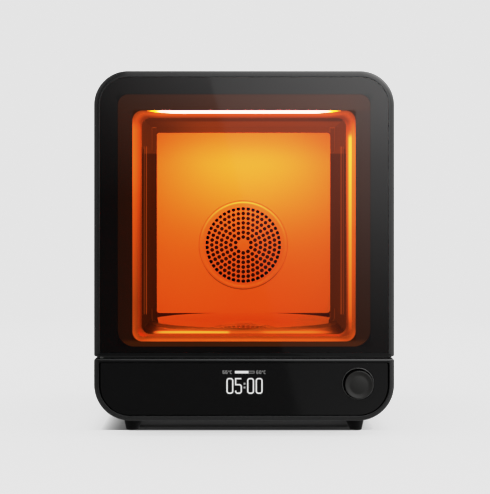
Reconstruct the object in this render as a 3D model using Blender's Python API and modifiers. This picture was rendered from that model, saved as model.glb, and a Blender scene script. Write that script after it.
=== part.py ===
"""Heated light-cure cabinet with a turntable, a hinged amber door and a single-knob control panel.

Frame: origin at the centre of the footprint on the table, +X to the right as seen by someone
facing the door, -Y towards that person, +Z up. Dimensions and helper arguments are millimetres,
scene units are metres. A "span" is a (low, high) pair along one axis.
"""
import math

import bmesh
import bpy
from mathutils import Matrix, Vector

MM = 0.001
CORNER_STEPS = 7         # facets per corner fillet
FINE_STEPS = 8           # the same, on the door and fascia front outlines

# ---------------------------------------------------------------- driving dimensions
WIDTH = 275.0            # overall width of casing and door
HALF = WIDTH / 2
TOP = 335.0              # height of the casing top above the table
FOOT_H = 14.8            # clearance under the base
SPLIT_LO = 71.6          # top of the base housing
SPLIT_HI = 73.4          # bottom of door and upper casing
FRONT = -144.5           # front plane of door and fascia
CASE_REAR = 148.0
R_TOP = 31.0             # corner radius, upper corners
R_BOT = 33.0             # corner radius, lower corners
WALL = 3.0               # moulded wall thickness

HINGE_X, HINGE_Y = HINGE = (-131.5, -128.0)   # vertical door pivot
PIN_BORE_R = 2.3
LEAF_Z = (293.0, 295.5)                       # hinge bracket leaf

OPEN_X, OPEN_Z, OPEN_R = 105.5, (84.2, 302.6), 9.5   # opening in the chamber flange
FAN_Z = 170.5                                 # height of the air grille and circulation fan
TABLE_Y = -10.5                               # turntable axis
TABLE_AXIS = (0, TABLE_Y)
KNOB_X, KNOB_Z = KNOB_AXIS = (104.3, 48.8)
FAN2_X, FAN2_Z = FAN2_AXIS = (70.0, 45.0)     # electronics cooling fan

SCREW_X, SCREW_Z_TOP, SCREW_Z_LOW = 127, 296, 51
SCREWS = ((-SCREW_X, SCREW_Z_TOP), (SCREW_X, SCREW_Z_TOP),
          (-SCREW_X, SCREW_Z_LOW), (SCREW_X, SCREW_Z_LOW))
SCREW_HOLE_R = 1.9

# ---------------------------------------------------------------- clean scene, collections
for old in list(bpy.data.objects):
    bpy.data.objects.remove(old, do_unlink=True)

part_col = bpy.data.collections.new("light_cure_cabinet")
cut_col = bpy.data.collections.new("cutters")
bpy.context.scene.collection.children.link(part_col)
bpy.context.scene.collection.children.link(cut_col)

# ---------------------------------------------------------------- materials
CASING = dict(color=(0.030, 0.030, 0.031), rough=0.45)
GLOSS = dict(color=(0.012, 0.012, 0.013), rough=0.12)
DARK = dict(color=(0.022, 0.022, 0.023), rough=0.6)
RUBBER = dict(color=(0.015, 0.015, 0.015), rough=0.85)
STEEL = dict(color=(0.55, 0.54, 0.52), rough=0.35, metal=1.0)
BRIGHT = dict(color=(0.80, 0.79, 0.76), rough=0.4, metal=1.0)
BLACKSTEEL = dict(color=(0.10, 0.09, 0.085), rough=0.45, metal=0.6)
BRONZE = dict(color=(0.55, 0.42, 0.20), rough=0.35, metal=1.0)
BOARD = dict(color=(0.02, 0.12, 0.06), rough=0.5)
AMBER = dict(color=(0.75, 0.17, 0.01), rough=0.05, alpha=0.6)
SMOKED = dict(color=(0.35, 0.33, 0.30), rough=0.2, alpha=0.8)
GLASS = dict(color=(0.85, 0.9, 0.88), rough=0.03, alpha=0.35, transmission=1.0)
GLOWING = dict(color=(1.0, 0.95, 0.85), rough=0.3, emit=(1.0, 0.93, 0.8))


def material(name, color, rough, metal=0.0, alpha=1.0, emit=None, transmission=0.0):
    mat = bpy.data.materials.new(name)
    mat.use_nodes = True
    inputs = mat.node_tree.nodes["Principled BSDF"].inputs
    inputs["Base Color"].default_value = (*color, 1)
    inputs["Roughness"].default_value = rough
    inputs["Metallic"].default_value = metal
    inputs["Alpha"].default_value = alpha
    inputs["Transmission Weight"].default_value = transmission
    if emit:
        inputs["Emission Color"].default_value = (*emit, 1)
        inputs["Emission Strength"].default_value = 1.0
    mat.diffuse_color = (*color, alpha)
    return mat


# ---------------------------------------------------------------- spans and outlines
def span(half, mid=0):
    return mid - half, mid + half


def widen(limits, margin):
    return limits[0] - margin, limits[1] + margin


def mirrored(side, near, far):
    """Span between two distances from the centre plane, on side -1 or 1."""
    return tuple(sorted((side * near, side * far)))


def arc(centre, radius, start, sweep, steps):
    """Points of an arc, both ends included, angles in degrees."""
    points = []
    for i in range(steps + 1):
        angle = math.radians(start + sweep * i / steps)
        points.append((centre[0] + radius * math.cos(angle), centre[1] + radius * math.sin(angle)))
    return points


def circle(centre, radius, sides=24, phase=0.0):
    angles = [2 * math.pi * i / sides + phase for i in range(sides)]
    return [(centre[0] + radius * math.cos(a), centre[1] + radius * math.sin(a)) for a in angles]


def rounded_rect(across, upward, low_radius=0.0, top_radius=None, steps=CORNER_STEPS):
    """Rounded rectangle, counter-clockwise from the lower left corner."""
    low = low_radius
    top = low if top_radius is None else top_radius
    (x0, x1), (z0, z1) = across, upward
    points = []
    for x, z, radius, start in ((x0 + low, z0 + low, low, 180), (x1 - low, z0 + low, low, 270),
                                (x1 - top, z1 - top, top, 0), (x0 + top, z1 - top, top, 90)):
        points += arc((x, z), radius, start, 90, steps) if radius > 0 else [(x, z)]
    return points


def casing_outline(inset):
    """Outline of base and casing together, moved inward all round."""
    return rounded_rect(span(HALF - inset), (FOOT_H + inset, TOP - inset),
                        R_BOT - inset, R_TOP - inset)


# ---------------------------------------------------------------- mesh helpers
def mesh_object(name, edit):
    """Part object from a bmesh, which is freed."""
    mesh = bpy.data.meshes.new(name)
    edit.to_mesh(mesh)
    edit.free()
    obj = bpy.data.objects.new(name, mesh)
    part_col.objects.link(obj)
    return obj


def settle(obj):
    """Replace an object by a plain mesh object of its evaluated shape, welded, faces out."""
    bpy.context.view_layer.update()
    depsgraph = bpy.context.evaluated_depsgraph_get()
    mesh = bpy.data.meshes.new_from_object(obj.evaluated_get(depsgraph))
    placement = obj.matrix_world.copy()
    name = obj.name
    bpy.data.objects.remove(obj, do_unlink=True)
    weld = 0.00001
    edit = bmesh.new()
    edit.from_mesh(mesh)
    bmesh.ops.remove_doubles(edit, verts=edit.verts, dist=weld)
    bmesh.ops.dissolve_degenerate(edit, dist=weld, edges=edit.edges)
    bmesh.ops.dissolve_limit(edit, angle_limit=math.radians(0.05), verts=edit.verts,
                             edges=edit.edges)
    bmesh.ops.recalc_face_normals(edit, faces=edit.faces)
    if edit.calc_volume(signed=True) < 0:
        bmesh.ops.reverse_faces(edit, faces=edit.faces)
    edit.to_mesh(mesh)
    edit.free()
    mesh.materials.clear()
    settled = bpy.data.objects.new(name, mesh)
    settled.matrix_world = placement
    part_col.objects.link(settled)
    return settled


PLATE_TURN = {"Y": (math.pi / 2, 0, 0), "Z": (0, 0, 0), "X": (math.pi / 2, 0, math.pi / 2)}


def curve_object(name, curve, loops, cyclic):
    for points in loops:
        spline = curve.splines.new("POLY")
        spline.points.add(len(points) - 1)
        for target, point in zip(spline.points, points):
            target.co = (*(value * MM for value in point), 1)
        spline.use_cyclic_u = cyclic
    obj = bpy.data.objects.new(name, curve)
    part_col.objects.link(obj)
    return obj


def plate(name, loops, thickness, along="Y"):
    """Flat outline (first loop) with holes (the others), its thickness a span along an axis.

    Outline coordinates are (x, z) along Y, (x, y) along Z and (y, z) along X.
    """
    low, high = thickness
    curve = bpy.data.curves.new(name, "CURVE")
    curve.dimensions = "2D"
    curve.fill_mode = "BOTH"
    curve.extrude = (high - low) / 2 * MM
    obj = curve_object(name, curve, [[(a, b, 0) for a, b in loop] for loop in loops], True)
    obj.rotation_euler = PLATE_TURN[along]
    mid = (low + high) / 2 * MM
    obj.location = {"Y": (0, mid, 0), "Z": (0, 0, mid), "X": (mid, 0, 0)}[along]
    return settle(obj)


def tube(name, points, radius, resolution):
    """Capped round tube along a polyline."""
    curve = bpy.data.curves.new(name, "CURVE")
    curve.dimensions = "3D"
    curve.bevel_depth = radius * MM
    curve.bevel_resolution = resolution
    curve.use_fill_caps = True
    return settle(curve_object(name, curve, [points], False))


def box(name, x, y, z):
    """Box from its three spans."""
    edit = bmesh.new()
    bmesh.ops.create_cube(edit, size=1.0)
    size = Vector((x[1] - x[0], y[1] - y[0], z[1] - z[0])) * MM
    bmesh.ops.scale(edit, vec=size, verts=edit.verts)
    obj = mesh_object(name, edit)
    obj.location = (Vector((x[0] + x[1], y[0] + y[1], z[0] + z[1])) / 2) * MM
    return obj


def rod(name, centre, radius, length, along="Y", sides=12, end_radius=None):
    """Cylinder or cone frustum over a span along Y or Z; centre is (x, z) or (x, y)."""
    low, high = length
    edit = bmesh.new()
    bmesh.ops.create_cone(edit, cap_ends=True, segments=sides, radius1=radius * MM,
                          radius2=(radius if end_radius is None else end_radius) * MM,
                          depth=(high - low) * MM)
    obj = mesh_object(name, edit)
    mid = (low + high) / 2
    if along == "Z":
        obj.location = Vector((centre[0], centre[1], mid)) * MM
    else:
        obj.rotation_euler = (-math.pi / 2, 0, 0)
        obj.location = Vector((centre[0], mid, centre[1])) * MM
    return obj


def turned(name, profile, location, facing="Z", steps=32, closed=False):
    """Turned part. profile: (radius, height) from the top, down the outer side, to the bottom.

    facing Z keeps the height along +Z, FRONT turns it to -Y, REAR to +Y.
    """
    mesh = bpy.data.meshes.new(name)
    edges = [(i, i + 1) for i in range(len(profile) - 1)]
    if closed:
        edges.append((len(profile) - 1, 0))
    mesh.from_pydata([(radius * MM, 0, height * MM) for radius, height in profile], edges, [])
    obj = bpy.data.objects.new(name, mesh)
    part_col.objects.link(obj)
    screw = obj.modifiers.new("turn", "SCREW")
    screw.axis = "Z"
    screw.steps = screw.render_steps = steps
    screw.use_merge_vertices = True
    screw.merge_threshold = 0.00001
    obj.rotation_euler = {"Z": (0, 0, 0), "FRONT": (math.pi / 2, 0, 0),
                          "REAR": (-math.pi / 2, 0, 0)}[facing]
    obj.location = Vector(location) * MM
    return settle(obj)


def joined(name, pieces):
    """One mesh object from several that don't touch, in world coordinates."""
    edit = bmesh.new()
    bpy.context.view_layer.update()
    for piece in pieces:
        mesh = piece.data.copy()
        mesh.transform(piece.matrix_world)
        edit.from_mesh(mesh)
        bpy.data.meshes.remove(mesh)
        bpy.data.objects.remove(piece, do_unlink=True)
    return mesh_object(name, edit)


def box_row(name, count, pitch, first_x, width, y, z):
    """Equal boxes side by side along X."""
    starts = [first_x + pitch * i for i in range(count)]
    return joined(name, [box("item", (x, x + width), y, z) for x in starts])


def box_ring(name, centre, count, radius, size, start=0.0, twist=0.0, twist_axis="Y"):
    """Equal boxes round an axis along Y, each twisted about its own centre."""
    boxes = []
    for i in range(count):
        item = box("item", *(span(length / 2) for length in size))
        item.matrix_world = (Matrix.Translation(Vector(centre) * MM)
                             @ Matrix.Rotation(start + 2 * math.pi * i / count, 4, "Y")
                             @ Matrix.Translation(Vector((radius, 0, 0)) * MM)
                             @ Matrix.Rotation(twist, 4, twist_axis))
        boxes.append(item)
    return joined(name, boxes)


def boolean(obj, other, operation):
    """Boolean with a helper object, which moves to the cutters collection."""
    part_col.objects.unlink(other)
    cut_col.objects.link(other)
    other.hide_render = True
    other.display_type = "WIRE"
    modifier = obj.modifiers.new(operation.lower() + "_" + other.name, "BOOLEAN")
    modifier.operation = operation
    modifier.solver = "EXACT"
    modifier.object = other


def cut(obj, *others):
    for other in others:
        boolean(obj, other, "DIFFERENCE")


def add(obj, *others):
    for other in others:
        boolean(obj, other, "UNION")


def bevel(obj, width, segments=1, angle=40):
    """Bevel the edges sharper than an angle in degrees, and settle the result."""
    modifier = obj.modifiers.new("edge", "BEVEL")
    modifier.width = width * MM
    modifier.segments = segments
    modifier.limit_method = "ANGLE"
    modifier.angle_limit = math.radians(angle)
    return settle(obj)


def finish(obj, look, smooth=True):
    """Settle pending modifiers, then give the part its own material and shading."""
    if obj.modifiers:
        obj = settle(obj)
    obj.data.materials.append(material(obj.name, **look))
    if smooth:
        obj.data.shade_smooth()
        obj.data.set_sharp_from_angle(angle=math.radians(35))
    return obj


def pivot(name, centre, *children):
    """Empty on a moving part's axis, made the parent of its pieces."""
    empty = bpy.data.objects.new(name, None)
    empty.empty_display_size = 0.02
    empty.location = Vector(centre) * MM
    part_col.objects.link(empty)
    bpy.context.view_layer.update()
    for child in children:
        child.parent = empty
        child.matrix_parent_inverse = empty.matrix_world.inverted()


# ================================================================ casing
CASE_FRONT = -119.0
SKIRT_Z = (0.6, 16.4)                   # intake skirt, from just clear of the table
SKIRT_X, SKIRT_Y, SKIRT_R, SKIRT_WALL = 106.0, 92.5, 10.0, 2.5
COVER_Y = (148.3, 153.5)                # rear cover, its rear face last
COVER_INSET, COVER_LIP_INSET, COVER_POCKET_INSET = 1.3, 3.4, 5.5
FOOT_HOLE_X, FOOT_Y = 103.8, 103.0
FOOT_X = 105.9                          # foot centre at the table
FOOT_TOP = 14.4
FOOT_LEAN = 1.6                         # shift of the foot's top towards the centre plane
FEET = (("front_left", -1, -1), ("front_right", 1, -1),
        ("rear_left", -1, 1), ("rear_right", 1, 1))

# mains inlet module and its rocker switch
INLET_X, INLET_Z = (-118.0, -68.0), (31.4, 58.6)
INLET_FLANGE_X, INLET_FLANGE_Z = (-121.2, -64.8), (28.8, 61.2)
ROCKER_X, ROCKER_Y, ROCKER_Z = ROCKER = (-109.0, 147.0, 45.0)
ROCKER_TILT = math.radians(8)

# control panel
BEZEL_HOLE_R = 15.1
DISPLAY_Z = 50


def fascia_outline(inset, steps):
    """Outline of the fascia recess, moved inward all round."""
    return rounded_rect(span(132.7 - inset), (20.2 + inset, 68.2 - inset),
                        28.2 - inset, 1.8 - inset, steps)


def add_screw_bosses(body, level, z):
    """Left and right bosses for the rear cover's screws."""
    for i, side in enumerate((-1, 1)):
        add(body, box(f"boss_{level}_{i}", mirrored(side, 121.0, 135.5), (128, 141.7), span(7, z)))
        cut(body, rod(f"boss_{level}_hole_{i}", (side * SCREW_X, z), SCREW_HOLE_R, (126, 150),
                      sides=16))


def upper_casing():
    """Arch open at the bottom, front and rear."""
    outer = rounded_rect(span(HALF), (SPLIT_HI, TOP), 0, R_TOP)
    inner = rounded_rect(span(HALF - WALL), (SPLIT_HI, TOP - WALL), 0, R_TOP - WALL)
    # bottom right, up, over the top, down to bottom left, then back along the inside
    ring = outer[1:] + [outer[0], inner[0]] + inner[:0:-1]
    body = bevel(plate("upper_casing", [ring], (CASE_FRONT, CASE_REAR)), 0.8, angle=60)
    add_screw_bosses(body, "top", SCREW_Z_TOP)
    finish(body, CASING)


def base_housing():
    outline = rounded_rect(span(HALF), (FOOT_H, SPLIT_LO), R_BOT, 1.8)
    body = bevel(plate("base_housing", [outline], (FRONT, CASE_REAR)), 1.0, angle=60)
    inside_x = span(HALF - WALL)
    cavity = rounded_rect(inside_x, (FOOT_H + WALL, SPLIT_LO - WALL), R_BOT - WALL, 0)
    cut(body, plate("base_cavity", [cavity], (-138, 149)),
        box("base_mouth", inside_x, (-118.6, 149), (60, 76)),
        plate("fascia_recess", [fascia_outline(0, CORNER_STEPS)], (-150, -141.2)),
        box("display_window", span(26), (-143, -136), span(15, DISPLAY_Z)),
        rod("bezel_window", KNOB_AXIS, BEZEL_HOLE_R, (-143, -136), sides=32))
    add(body, rod("pin_boss", HINGE, 5.0, (57, 70.5), "Z", 14))
    cut(body, rod("pin_boss_hole", HINGE, PIN_BORE_R, (58.5, 76), "Z"))
    add_screw_bosses(body, "low", SCREW_Z_LOW)
    holes = [rod("hole", (sx * FOOT_HOLE_X, sy * FOOT_Y), 4.4, (10, 24), "Z")
             for sx in (-1, 1) for sy in (-1, 1)]
    cut(body, joined("foot_holes", holes))
    # skirt round the air intake
    skirt = [rounded_rect(span(SKIRT_X - d), span(SKIRT_Y - d), SKIRT_R - d, steps=4)
             for d in (0, SKIRT_WALL)]
    add(body, plate("intake_skirt", skirt, SKIRT_Z, "Z"))
    cut(body, box_row("air_slots", 6, 18, first_x=-45, width=5, y=(30, 82), z=(10, 24)))
    finish(body, CASING)


def vent_slots(mid_x, mid_z, count, pitch, half_height, radius):
    """Row of upright slot cutters through the rear cover."""
    half_width = 2.0
    slots = []
    for i in range(count):
        x = mid_x + (i - (count - 1) / 2) * pitch
        outline = rounded_rect(span(half_width, x), span(half_height, mid_z), radius, steps=1)
        slots.append(plate("slot", [outline], (140, 156)))
    return slots


def rear_cover():
    body = bevel(plate("rear_cover", [casing_outline(COVER_INSET)], COVER_Y), 2.2, angle=60)
    add(body, plate("cover_lip", [casing_outline(COVER_LIP_INSET)], (142.3, 149.5)))
    cut(body, plate("cover_pocket", [casing_outline(COVER_POCKET_INSET)], (141.0, 151.0)))
    for i, centre in enumerate(SCREWS):
        add(body, rod(f"cover_boss_{i}", centre, 6.2, (142.5, 152.0)))
        cut(body, rod(f"cover_bore_{i}", centre, 3.6, (150.9, 156)),
            rod(f"cover_hole_{i}", centre, SCREW_HOLE_R, (140, 153), sides=10))
    add(body, box("inlet_pad", (-122.9, -62), (147.5, 152), (26, 64)))
    cut(body, box("inlet_recess", widen(INLET_FLANGE_X, 0.4), (150.5, 156),
                  widen(INLET_FLANGE_Z, 0.4)),
        box("inlet_hole", widen(INLET_X, 0.5), (140, 156), widen(INLET_Z, 0.4)))
    slots = vent_slots(FAN2_X, FAN2_Z, count=5, pitch=8, half_height=19, radius=1.2)
    slots += vent_slots(0, FAN_Z, count=7, pitch=12, half_height=24.5, radius=1.4)
    cut(body, joined("cover_slots", slots))
    finish(body, DARK)


def foot(name, sx, sy):
    """Tapered rubber foot: a leaning frustum under the base and a stem up into its hole."""
    body = rod(name, (sx * FOOT_X, sy * FOOT_Y), 5.0, (0, FOOT_TOP), "Z", 16, end_radius=9.7)
    for vertex in body.data.vertices:
        if vertex.co.z > 0:
            vertex.co.x -= sx * FOOT_LEAN * MM
    body = bevel(body, 0.6, angle=30)
    add(body, rod(name + "_stem", (sx * FOOT_HOLE_X, sy * FOOT_Y), 4.0, (13.0, 19.5), "Z"))
    finish(body, RUBBER)


def cover_screw(name, x, z):
    profile = [(0, 16.2), (2.2, 16.2), (3.2, 15.5), (3.2, 14.5), (1.5, 14.5), (1.5, 0.6),
               (0.9, 0), (0, 0)]
    body = turned(name, profile, (x, 136.9, z), "REAR", 12)
    cut(body, rod(name + "_socket", (x, z), 1.5, (151.9, 155), sides=6))
    finish(body, STEEL)


def chassis_plate():
    """Deck between base and chamber, with a shaft hole and a wide opening near the rear."""
    body = plate("chassis_plate", [rounded_rect(span(133.8), (-115.2, 141.9), 2, steps=2),
                                   circle(TABLE_AXIS, 7),
                                   rounded_rect(span(60), (100, 128), 4, steps=3)],
                 (74.5, 76.5), "Z")
    # side flanges, bent down behind the joint between casing and base
    for i, side in enumerate((-1, 1)):
        add(body, box(f"deck_flange_{i}", mirrored(side, 132.4, 133.8), (-113.0, 139.0),
                      (65.5, 75.5)))
    finish(body, STEEL, smooth=False)


# ================================================================ door
DOOR_REAR = -120.0
HINGE_R = 8.0            # radius of the door's rear left edge about the pivot
EDGE_CUT = 11            # reach of that edge's cutter from the pivot
BOSS_X, BOSS_Y = (-136.9, -125.4), (-136, -123.4)     # hinge pin bosses
MAGNET_X, MAGNET_Z = (124.6, 130.0), (190.3, 215.7)


def door_outline(inset, low_radius, steps=CORNER_STEPS):
    """Outline of the frame's inner edge, moved inward all round."""
    return rounded_rect(span(132.2 - inset), (76.9 + inset, 329.4 - inset), low_radius,
                        R_TOP - 5.4 - inset, steps)


def leaf_slot(name):
    """Clearance in the door for the upper hinge bracket."""
    return box(name, (-141, -124.9), (-134.6, -117), widen(LEAF_Z, 1.1))


def door_frame():
    ring = [rounded_rect(span(HALF), (SPLIT_HI, TOP), 1.8, R_TOP, FINE_STEPS),
            door_outline(0, 2.0, FINE_STEPS)]
    body = bevel(plate("door_frame", ring, (FRONT, DOOR_REAR)), 0.8, angle=60)
    add(body, box("boss_hi", BOSS_X, BOSS_Y, (284, 304)),
        box("boss_lo", BOSS_X, BOSS_Y, (74.6, 87)))
    edge = arc(HINGE, HINGE_R, 90, 90, 8)
    edge += [(HINGE_X - EDGE_CUT, HINGE_Y), (HINGE_X - EDGE_CUT, HINGE_Y + EDGE_CUT),
             (HINGE_X, HINGE_Y + EDGE_CUT)]
    cut(body, plate("pivot_edge", [edge], (60, 345), "Z"), leaf_slot("leaf_slot"),
        rod("pin_bore_hi", HINGE, PIN_BORE_R, (280, 310), "Z"),
        rod("pin_bore_lo", HINGE, PIN_BORE_R, (70, 92), "Z"))
    return finish(body, CASING)


def door_pane():
    pane = plate("door_pane", [door_outline(0.3, 1.7, FINE_STEPS)], (-144.3, -140.3))
    return finish(bevel(pane, 0.3, angle=60), AMBER)


def door_mask():
    """Dark border behind the pane."""
    window = rounded_rect(span(116.0), (82.3, 313.9), 15.0, 9.5)
    mask = plate("door_mask", [door_outline(0.6, 1.5, FINE_STEPS), window], (-140.0, -139.2))
    return finish(mask, GLOSS, smooth=False)


def door_liner():
    window = rounded_rect(span(118.0), (80.4, 315.8), 16.5, 11.0)
    body = plate("door_liner", [door_outline(0.3, 1.7), window], (-123.0, -120.4))
    tunnel = rounded_rect(span(120.0), (78.6, 317.8), 18.3, 13.0)
    add(body, plate("liner_tunnel", [tunnel, window], (-138.9, -122.2)))
    cut(body, leaf_slot("liner_leaf_slot"),
        box("magnet_hole", widen(MAGNET_X, 0.4), (-126, -117), widen(MAGNET_Z, 0.4)))
    return finish(body, DARK)


def door_seal():
    ring = [rounded_rect(span(122.4), (77.6, 320.2), 18.5, 14.5),
            rounded_rect(span(119.4), (80.2, 317.2), 16.0, 11.5)]
    return finish(plate("door_seal", ring, (-120.1, -118.4)), RUBBER, smooth=False)


def door_magnet():
    magnet = bevel(box("door_magnet", MAGNET_X, (-126.2, -119.9), MAGNET_Z), 0.4)
    return finish(magnet, STEEL, smooth=False)


def upper_hinge_bracket():
    """Horizontal leaf round the pin, on a vertical leg with two bolt holes."""
    left, leg_rear, leg_front = -134.0, -113.7, -115.7
    outline = [(-126.0, leg_rear)] + arc(HINGE, 5.5, 0, -180, 12)
    outline += [(left, -122.5), (left, leg_rear)]
    body = plate("upper_hinge_bracket", [outline, circle(HINGE, PIN_BORE_R, 12)], LEAF_Z, "Z")
    add(body, box("bracket_leg", (left, -114.0), (leg_front, leg_rear), (262, LEAF_Z[1] - 0.01)))
    for tag, z in (("a", 270), ("b", 284)):
        cut(body, rod("bracket_bolt_" + tag, (-124, z), 1.6, (-117, -112), sides=8))
    finish(body, STEEL)


def hinge_pin(name, low, high):
    profile = [(0, high), (1.6, high), (2.0, high - 0.5), (2.0, low + 0.5), (1.6, low), (0, low)]
    finish(turned(name, profile, (*HINGE, 0), "Z", 12), STEEL)


# ================================================================ controls
KNOB_R, KNOB_BASE, KNOB_TIP = 13.4, -142.5, -153.5


def control_fascia():
    loops = [fascia_outline(0.3, FINE_STEPS), circle(KNOB_AXIS, BEZEL_HOLE_R, 28)]
    finish(plate("control_fascia", loops, (FRONT, -141.5)), GLOSS)


def display_module():
    module = box("display_module", span(24), (-141.1, -131.5), span(13, DISPLAY_Z))
    finish(bevel(module, 0.5), DARK)


def control_board():
    x, z = (-45, 118), (26, 66)
    (left, right), (low, high) = widen(x, -5), widen(z, -5)
    holes = [circle(at, 1.6, 12) for at in ((left, low), (left, high), (right, high), (right, low))]
    body = plate("control_board", [rounded_rect(x, z, 2, steps=3)] + holes, (-126.4, -124.8))
    add(body, box("ribbon_socket", (10, 34), (-125.2, -119.4), (40, 46)),
        box("regulator", (50, 62), (-125.2, -121), (50, 60)))
    finish(body, BOARD)


def encoder_body():
    body = bevel(box("encoder_body", span(7, KNOB_X), (-137.0, -127.2), span(7, KNOB_Z)), 0.5)
    cut(body, rod("encoder_bore", KNOB_AXIS, 3.4, (-140, -120)),
        rod("encoder_seat", KNOB_AXIS, 6.0, (-140, -132.0)))
    finish(body, DARK)


def knob_bezel():
    profile = [(14.8, 6.0), (14.8, 0.0), (4.0, 0.0), (4.0, 1.0), (13.8, 1.0), (13.8, 5.6),
               (14.1, 6.0)]
    finish(turned("knob_bezel", profile, (KNOB_X, -139.0, KNOB_Z), "FRONT", 24, closed=True), DARK)


def control_knob():
    """Knob with a dished front face and a bore for the shaft."""
    top = KNOB_BASE - KNOB_TIP
    profile = [(0, top - 0.9), (7.4, top - 0.9), (8.6, top - 0.1), (9.4, top), (11.6, top),
               (12.9, top - 0.5), (KNOB_R, top - 1.6), (KNOB_R, 0.4), (13.0, 0.0), (3.3, 0.0),
               (3.3, top - 3.2), (0, top - 3.2)]
    return finish(turned("control_knob", profile, (KNOB_X, KNOB_BASE, KNOB_Z), "FRONT", 22), DARK)


def encoder_shaft():
    profile = [(0, 20.7), (2.6, 20.7), (3.0, 20.2), (3.0, 0.3), (2.7, 0), (0, 0)]
    return finish(turned("encoder_shaft", profile, (KNOB_X, -129.1, KNOB_Z), "FRONT", 12), STEEL)


def encoder_rotor():
    profile = [(5.5, 4.3), (5.5, 0), (3.35, 0), (3.35, 4.3)]
    return finish(turned("encoder_rotor", profile, (KNOB_X, -132.3, KNOB_Z), "FRONT", 12,
                         closed=True), DARK)


# ================================================================ chamber
SHEET = 1.5                                       # sheet metal thickness
CHAM_X, CHAM_Z0, CHAM_Z1 = 101.0, 87.0, 300.2     # inner faces of walls, floor, ceiling
CHAM_OUT_X = CHAM_X + SHEET
CHAM_FRONT, CHAM_REAR = -99.2, 95.2               # ends of walls, floor and ceiling
REAR_FLANGE_Y = (CHAM_REAR - SHEET, CHAM_REAR)    # flanges bent inward at the rear
BACK_Y = 95.5                                     # front of the back panel

# cove round the opening
LIP_X, LIP_Z, LIP_R = 97.0, (90.0, 296.0), 8.0    # inner edge
LIP_FRONT, LIP_DEPTH, LIP_REAR = -115.7, 15.4, -99.6
LIP_STATIONS, LIP_CORNER_STEPS = 5, 4

GRILLE_R = 48.0
HOLE_RINGS = 3
HOLE_R0, HOLE_DR = 11.5, 12.0                     # first ring radius and step between rings
HOLE_N0, HOLE_DN = 10, 8                          # holes in the first ring and added per ring

LIGHT_Z = (104.0, 272.0)                          # side light covers
TOP_LIGHT_X, TOP_LIGHT_Y = 91.0, (-113.6, -106.9)


def chamber_flange():
    # the casing outline 3.3 mm in, but square-cornered and cut short at the bottom
    inset = 3.3
    ring = [rounded_rect(span(HALF - inset), (66.0, TOP - inset), 0, R_TOP - inset),
            rounded_rect(span(OPEN_X), OPEN_Z, OPEN_R)]
    body = plate("chamber_flange", ring, (-118.0, -116.0))
    cut(body, box("flange_notch", (-136, -125.6), (-120, -114), widen(LEAF_Z, 0.8)))
    finish(body, BLACKSTEEL)


def chamber_lip():
    """Cove round the opening: straight in at the front edge, curling inward to the rear edge."""
    rings = []                                    # y, half width, z span, corner radius
    for i in range(LIP_STATIONS):
        angle = math.radians(90 * i / (LIP_STATIONS - 1))
        curl = 1 - math.cos(angle)
        half = OPEN_X - (OPEN_X - LIP_X) * curl
        z_span = [start + (end - start) * curl for start, end in zip(OPEN_Z, LIP_Z)]
        radius = OPEN_R - (OPEN_R - LIP_R) * curl
        rings.append((LIP_FRONT + LIP_DEPTH * math.sin(angle), half, z_span, radius))
    rings.append((LIP_REAR, LIP_X, LIP_Z, LIP_R))
    rings.append((LIP_REAR, 102.3, (CHAM_Z0 - 1.2, CHAM_Z1 + 1.2), 10.0))
    edit = bmesh.new()
    loops = []
    for y, half, z_span, radius in rings:
        points = rounded_rect(span(half), z_span, radius, steps=LIP_CORNER_STEPS)
        loops.append([edit.verts.new((x * MM, y * MM, z * MM)) for x, z in points])
    for front, rear in zip(loops[:-1], loops[1:]):
        for i in range(len(front)):
            j = (i + 1) % len(front)
            edit.faces.new((front[i], front[j], rear[j], rear[i]))
    bmesh.ops.recalc_face_normals(edit, faces=edit.faces)
    body = mesh_object("chamber_lip", edit)
    # The first face is in the lower left corner: its normal tells which way the faces point.
    # Thickness goes away from the chamber's centre line, on the hidden side of the cove.
    faces_out = body.data.polygons[0].normal.z < 0
    modifier = body.modifiers.new("thickness", "SOLIDIFY")
    modifier.thickness = 1.0 * MM
    modifier.offset = 1.0 if faces_out else -1.0
    modifier.use_even_offset = False
    body = settle(body)
    cut(body, box("light_slot", span(TOP_LIGHT_X + 0.5), widen(TOP_LIGHT_Y, 0.5), (297.5, 306)))
    finish(body, BRIGHT)


def side_wall(name, side):
    front, flange_front, rear = CHAM_FRONT, *REAR_FLANGE_Y
    corners = [(CHAM_X, front), (CHAM_X, flange_front), (96.0, flange_front), (96.0, rear),
               (CHAM_OUT_X, rear), (CHAM_OUT_X, front)]
    wall = plate(name, [[(side * x, y) for x, y in corners]], (CHAM_Z0 + 0.3, CHAM_Z1 - 0.3), "Z")
    finish(wall, BLACKSTEEL, smooth=False)


def chamber_ceiling():
    body = box("chamber_ceiling", span(CHAM_OUT_X), (CHAM_FRONT, CHAM_REAR),
               (CHAM_Z1, CHAM_Z1 + SHEET))
    add(body, box("ceiling_flange", span(95.7), REAR_FLANGE_Y, (295.2, CHAM_Z1 + 0.5)))
    finish(body, BLACKSTEEL, smooth=False)


def chamber_floor():
    body = box("chamber_floor", span(CHAM_OUT_X), (CHAM_FRONT, CHAM_REAR),
               (CHAM_Z0 - SHEET, CHAM_Z0))
    add(body, box("floor_flange", span(95.7), REAR_FLANGE_Y, (CHAM_Z0 - 0.5, 95.4)))
    cut(body, rod("bushing_hole", TABLE_AXIS, 8.3, (80, 90), "Z", 24),
        box_row("warm_air_slots", 6, 26, first_x=-78, width=18, y=(84, 88), z=(80, 90)))
    finish(body, BLACKSTEEL, smooth=False)


def chamber_back_panel():
    outline = rounded_rect(span(CHAM_OUT_X), (CHAM_Z0 - SHEET, CHAM_Z1 + SHEET))
    panel = plate("chamber_back_panel", [outline, circle((0, FAN_Z), 42, 28)],
                  (BACK_Y, BACK_Y + SHEET))
    finish(panel, BRIGHT, smooth=False)


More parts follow.
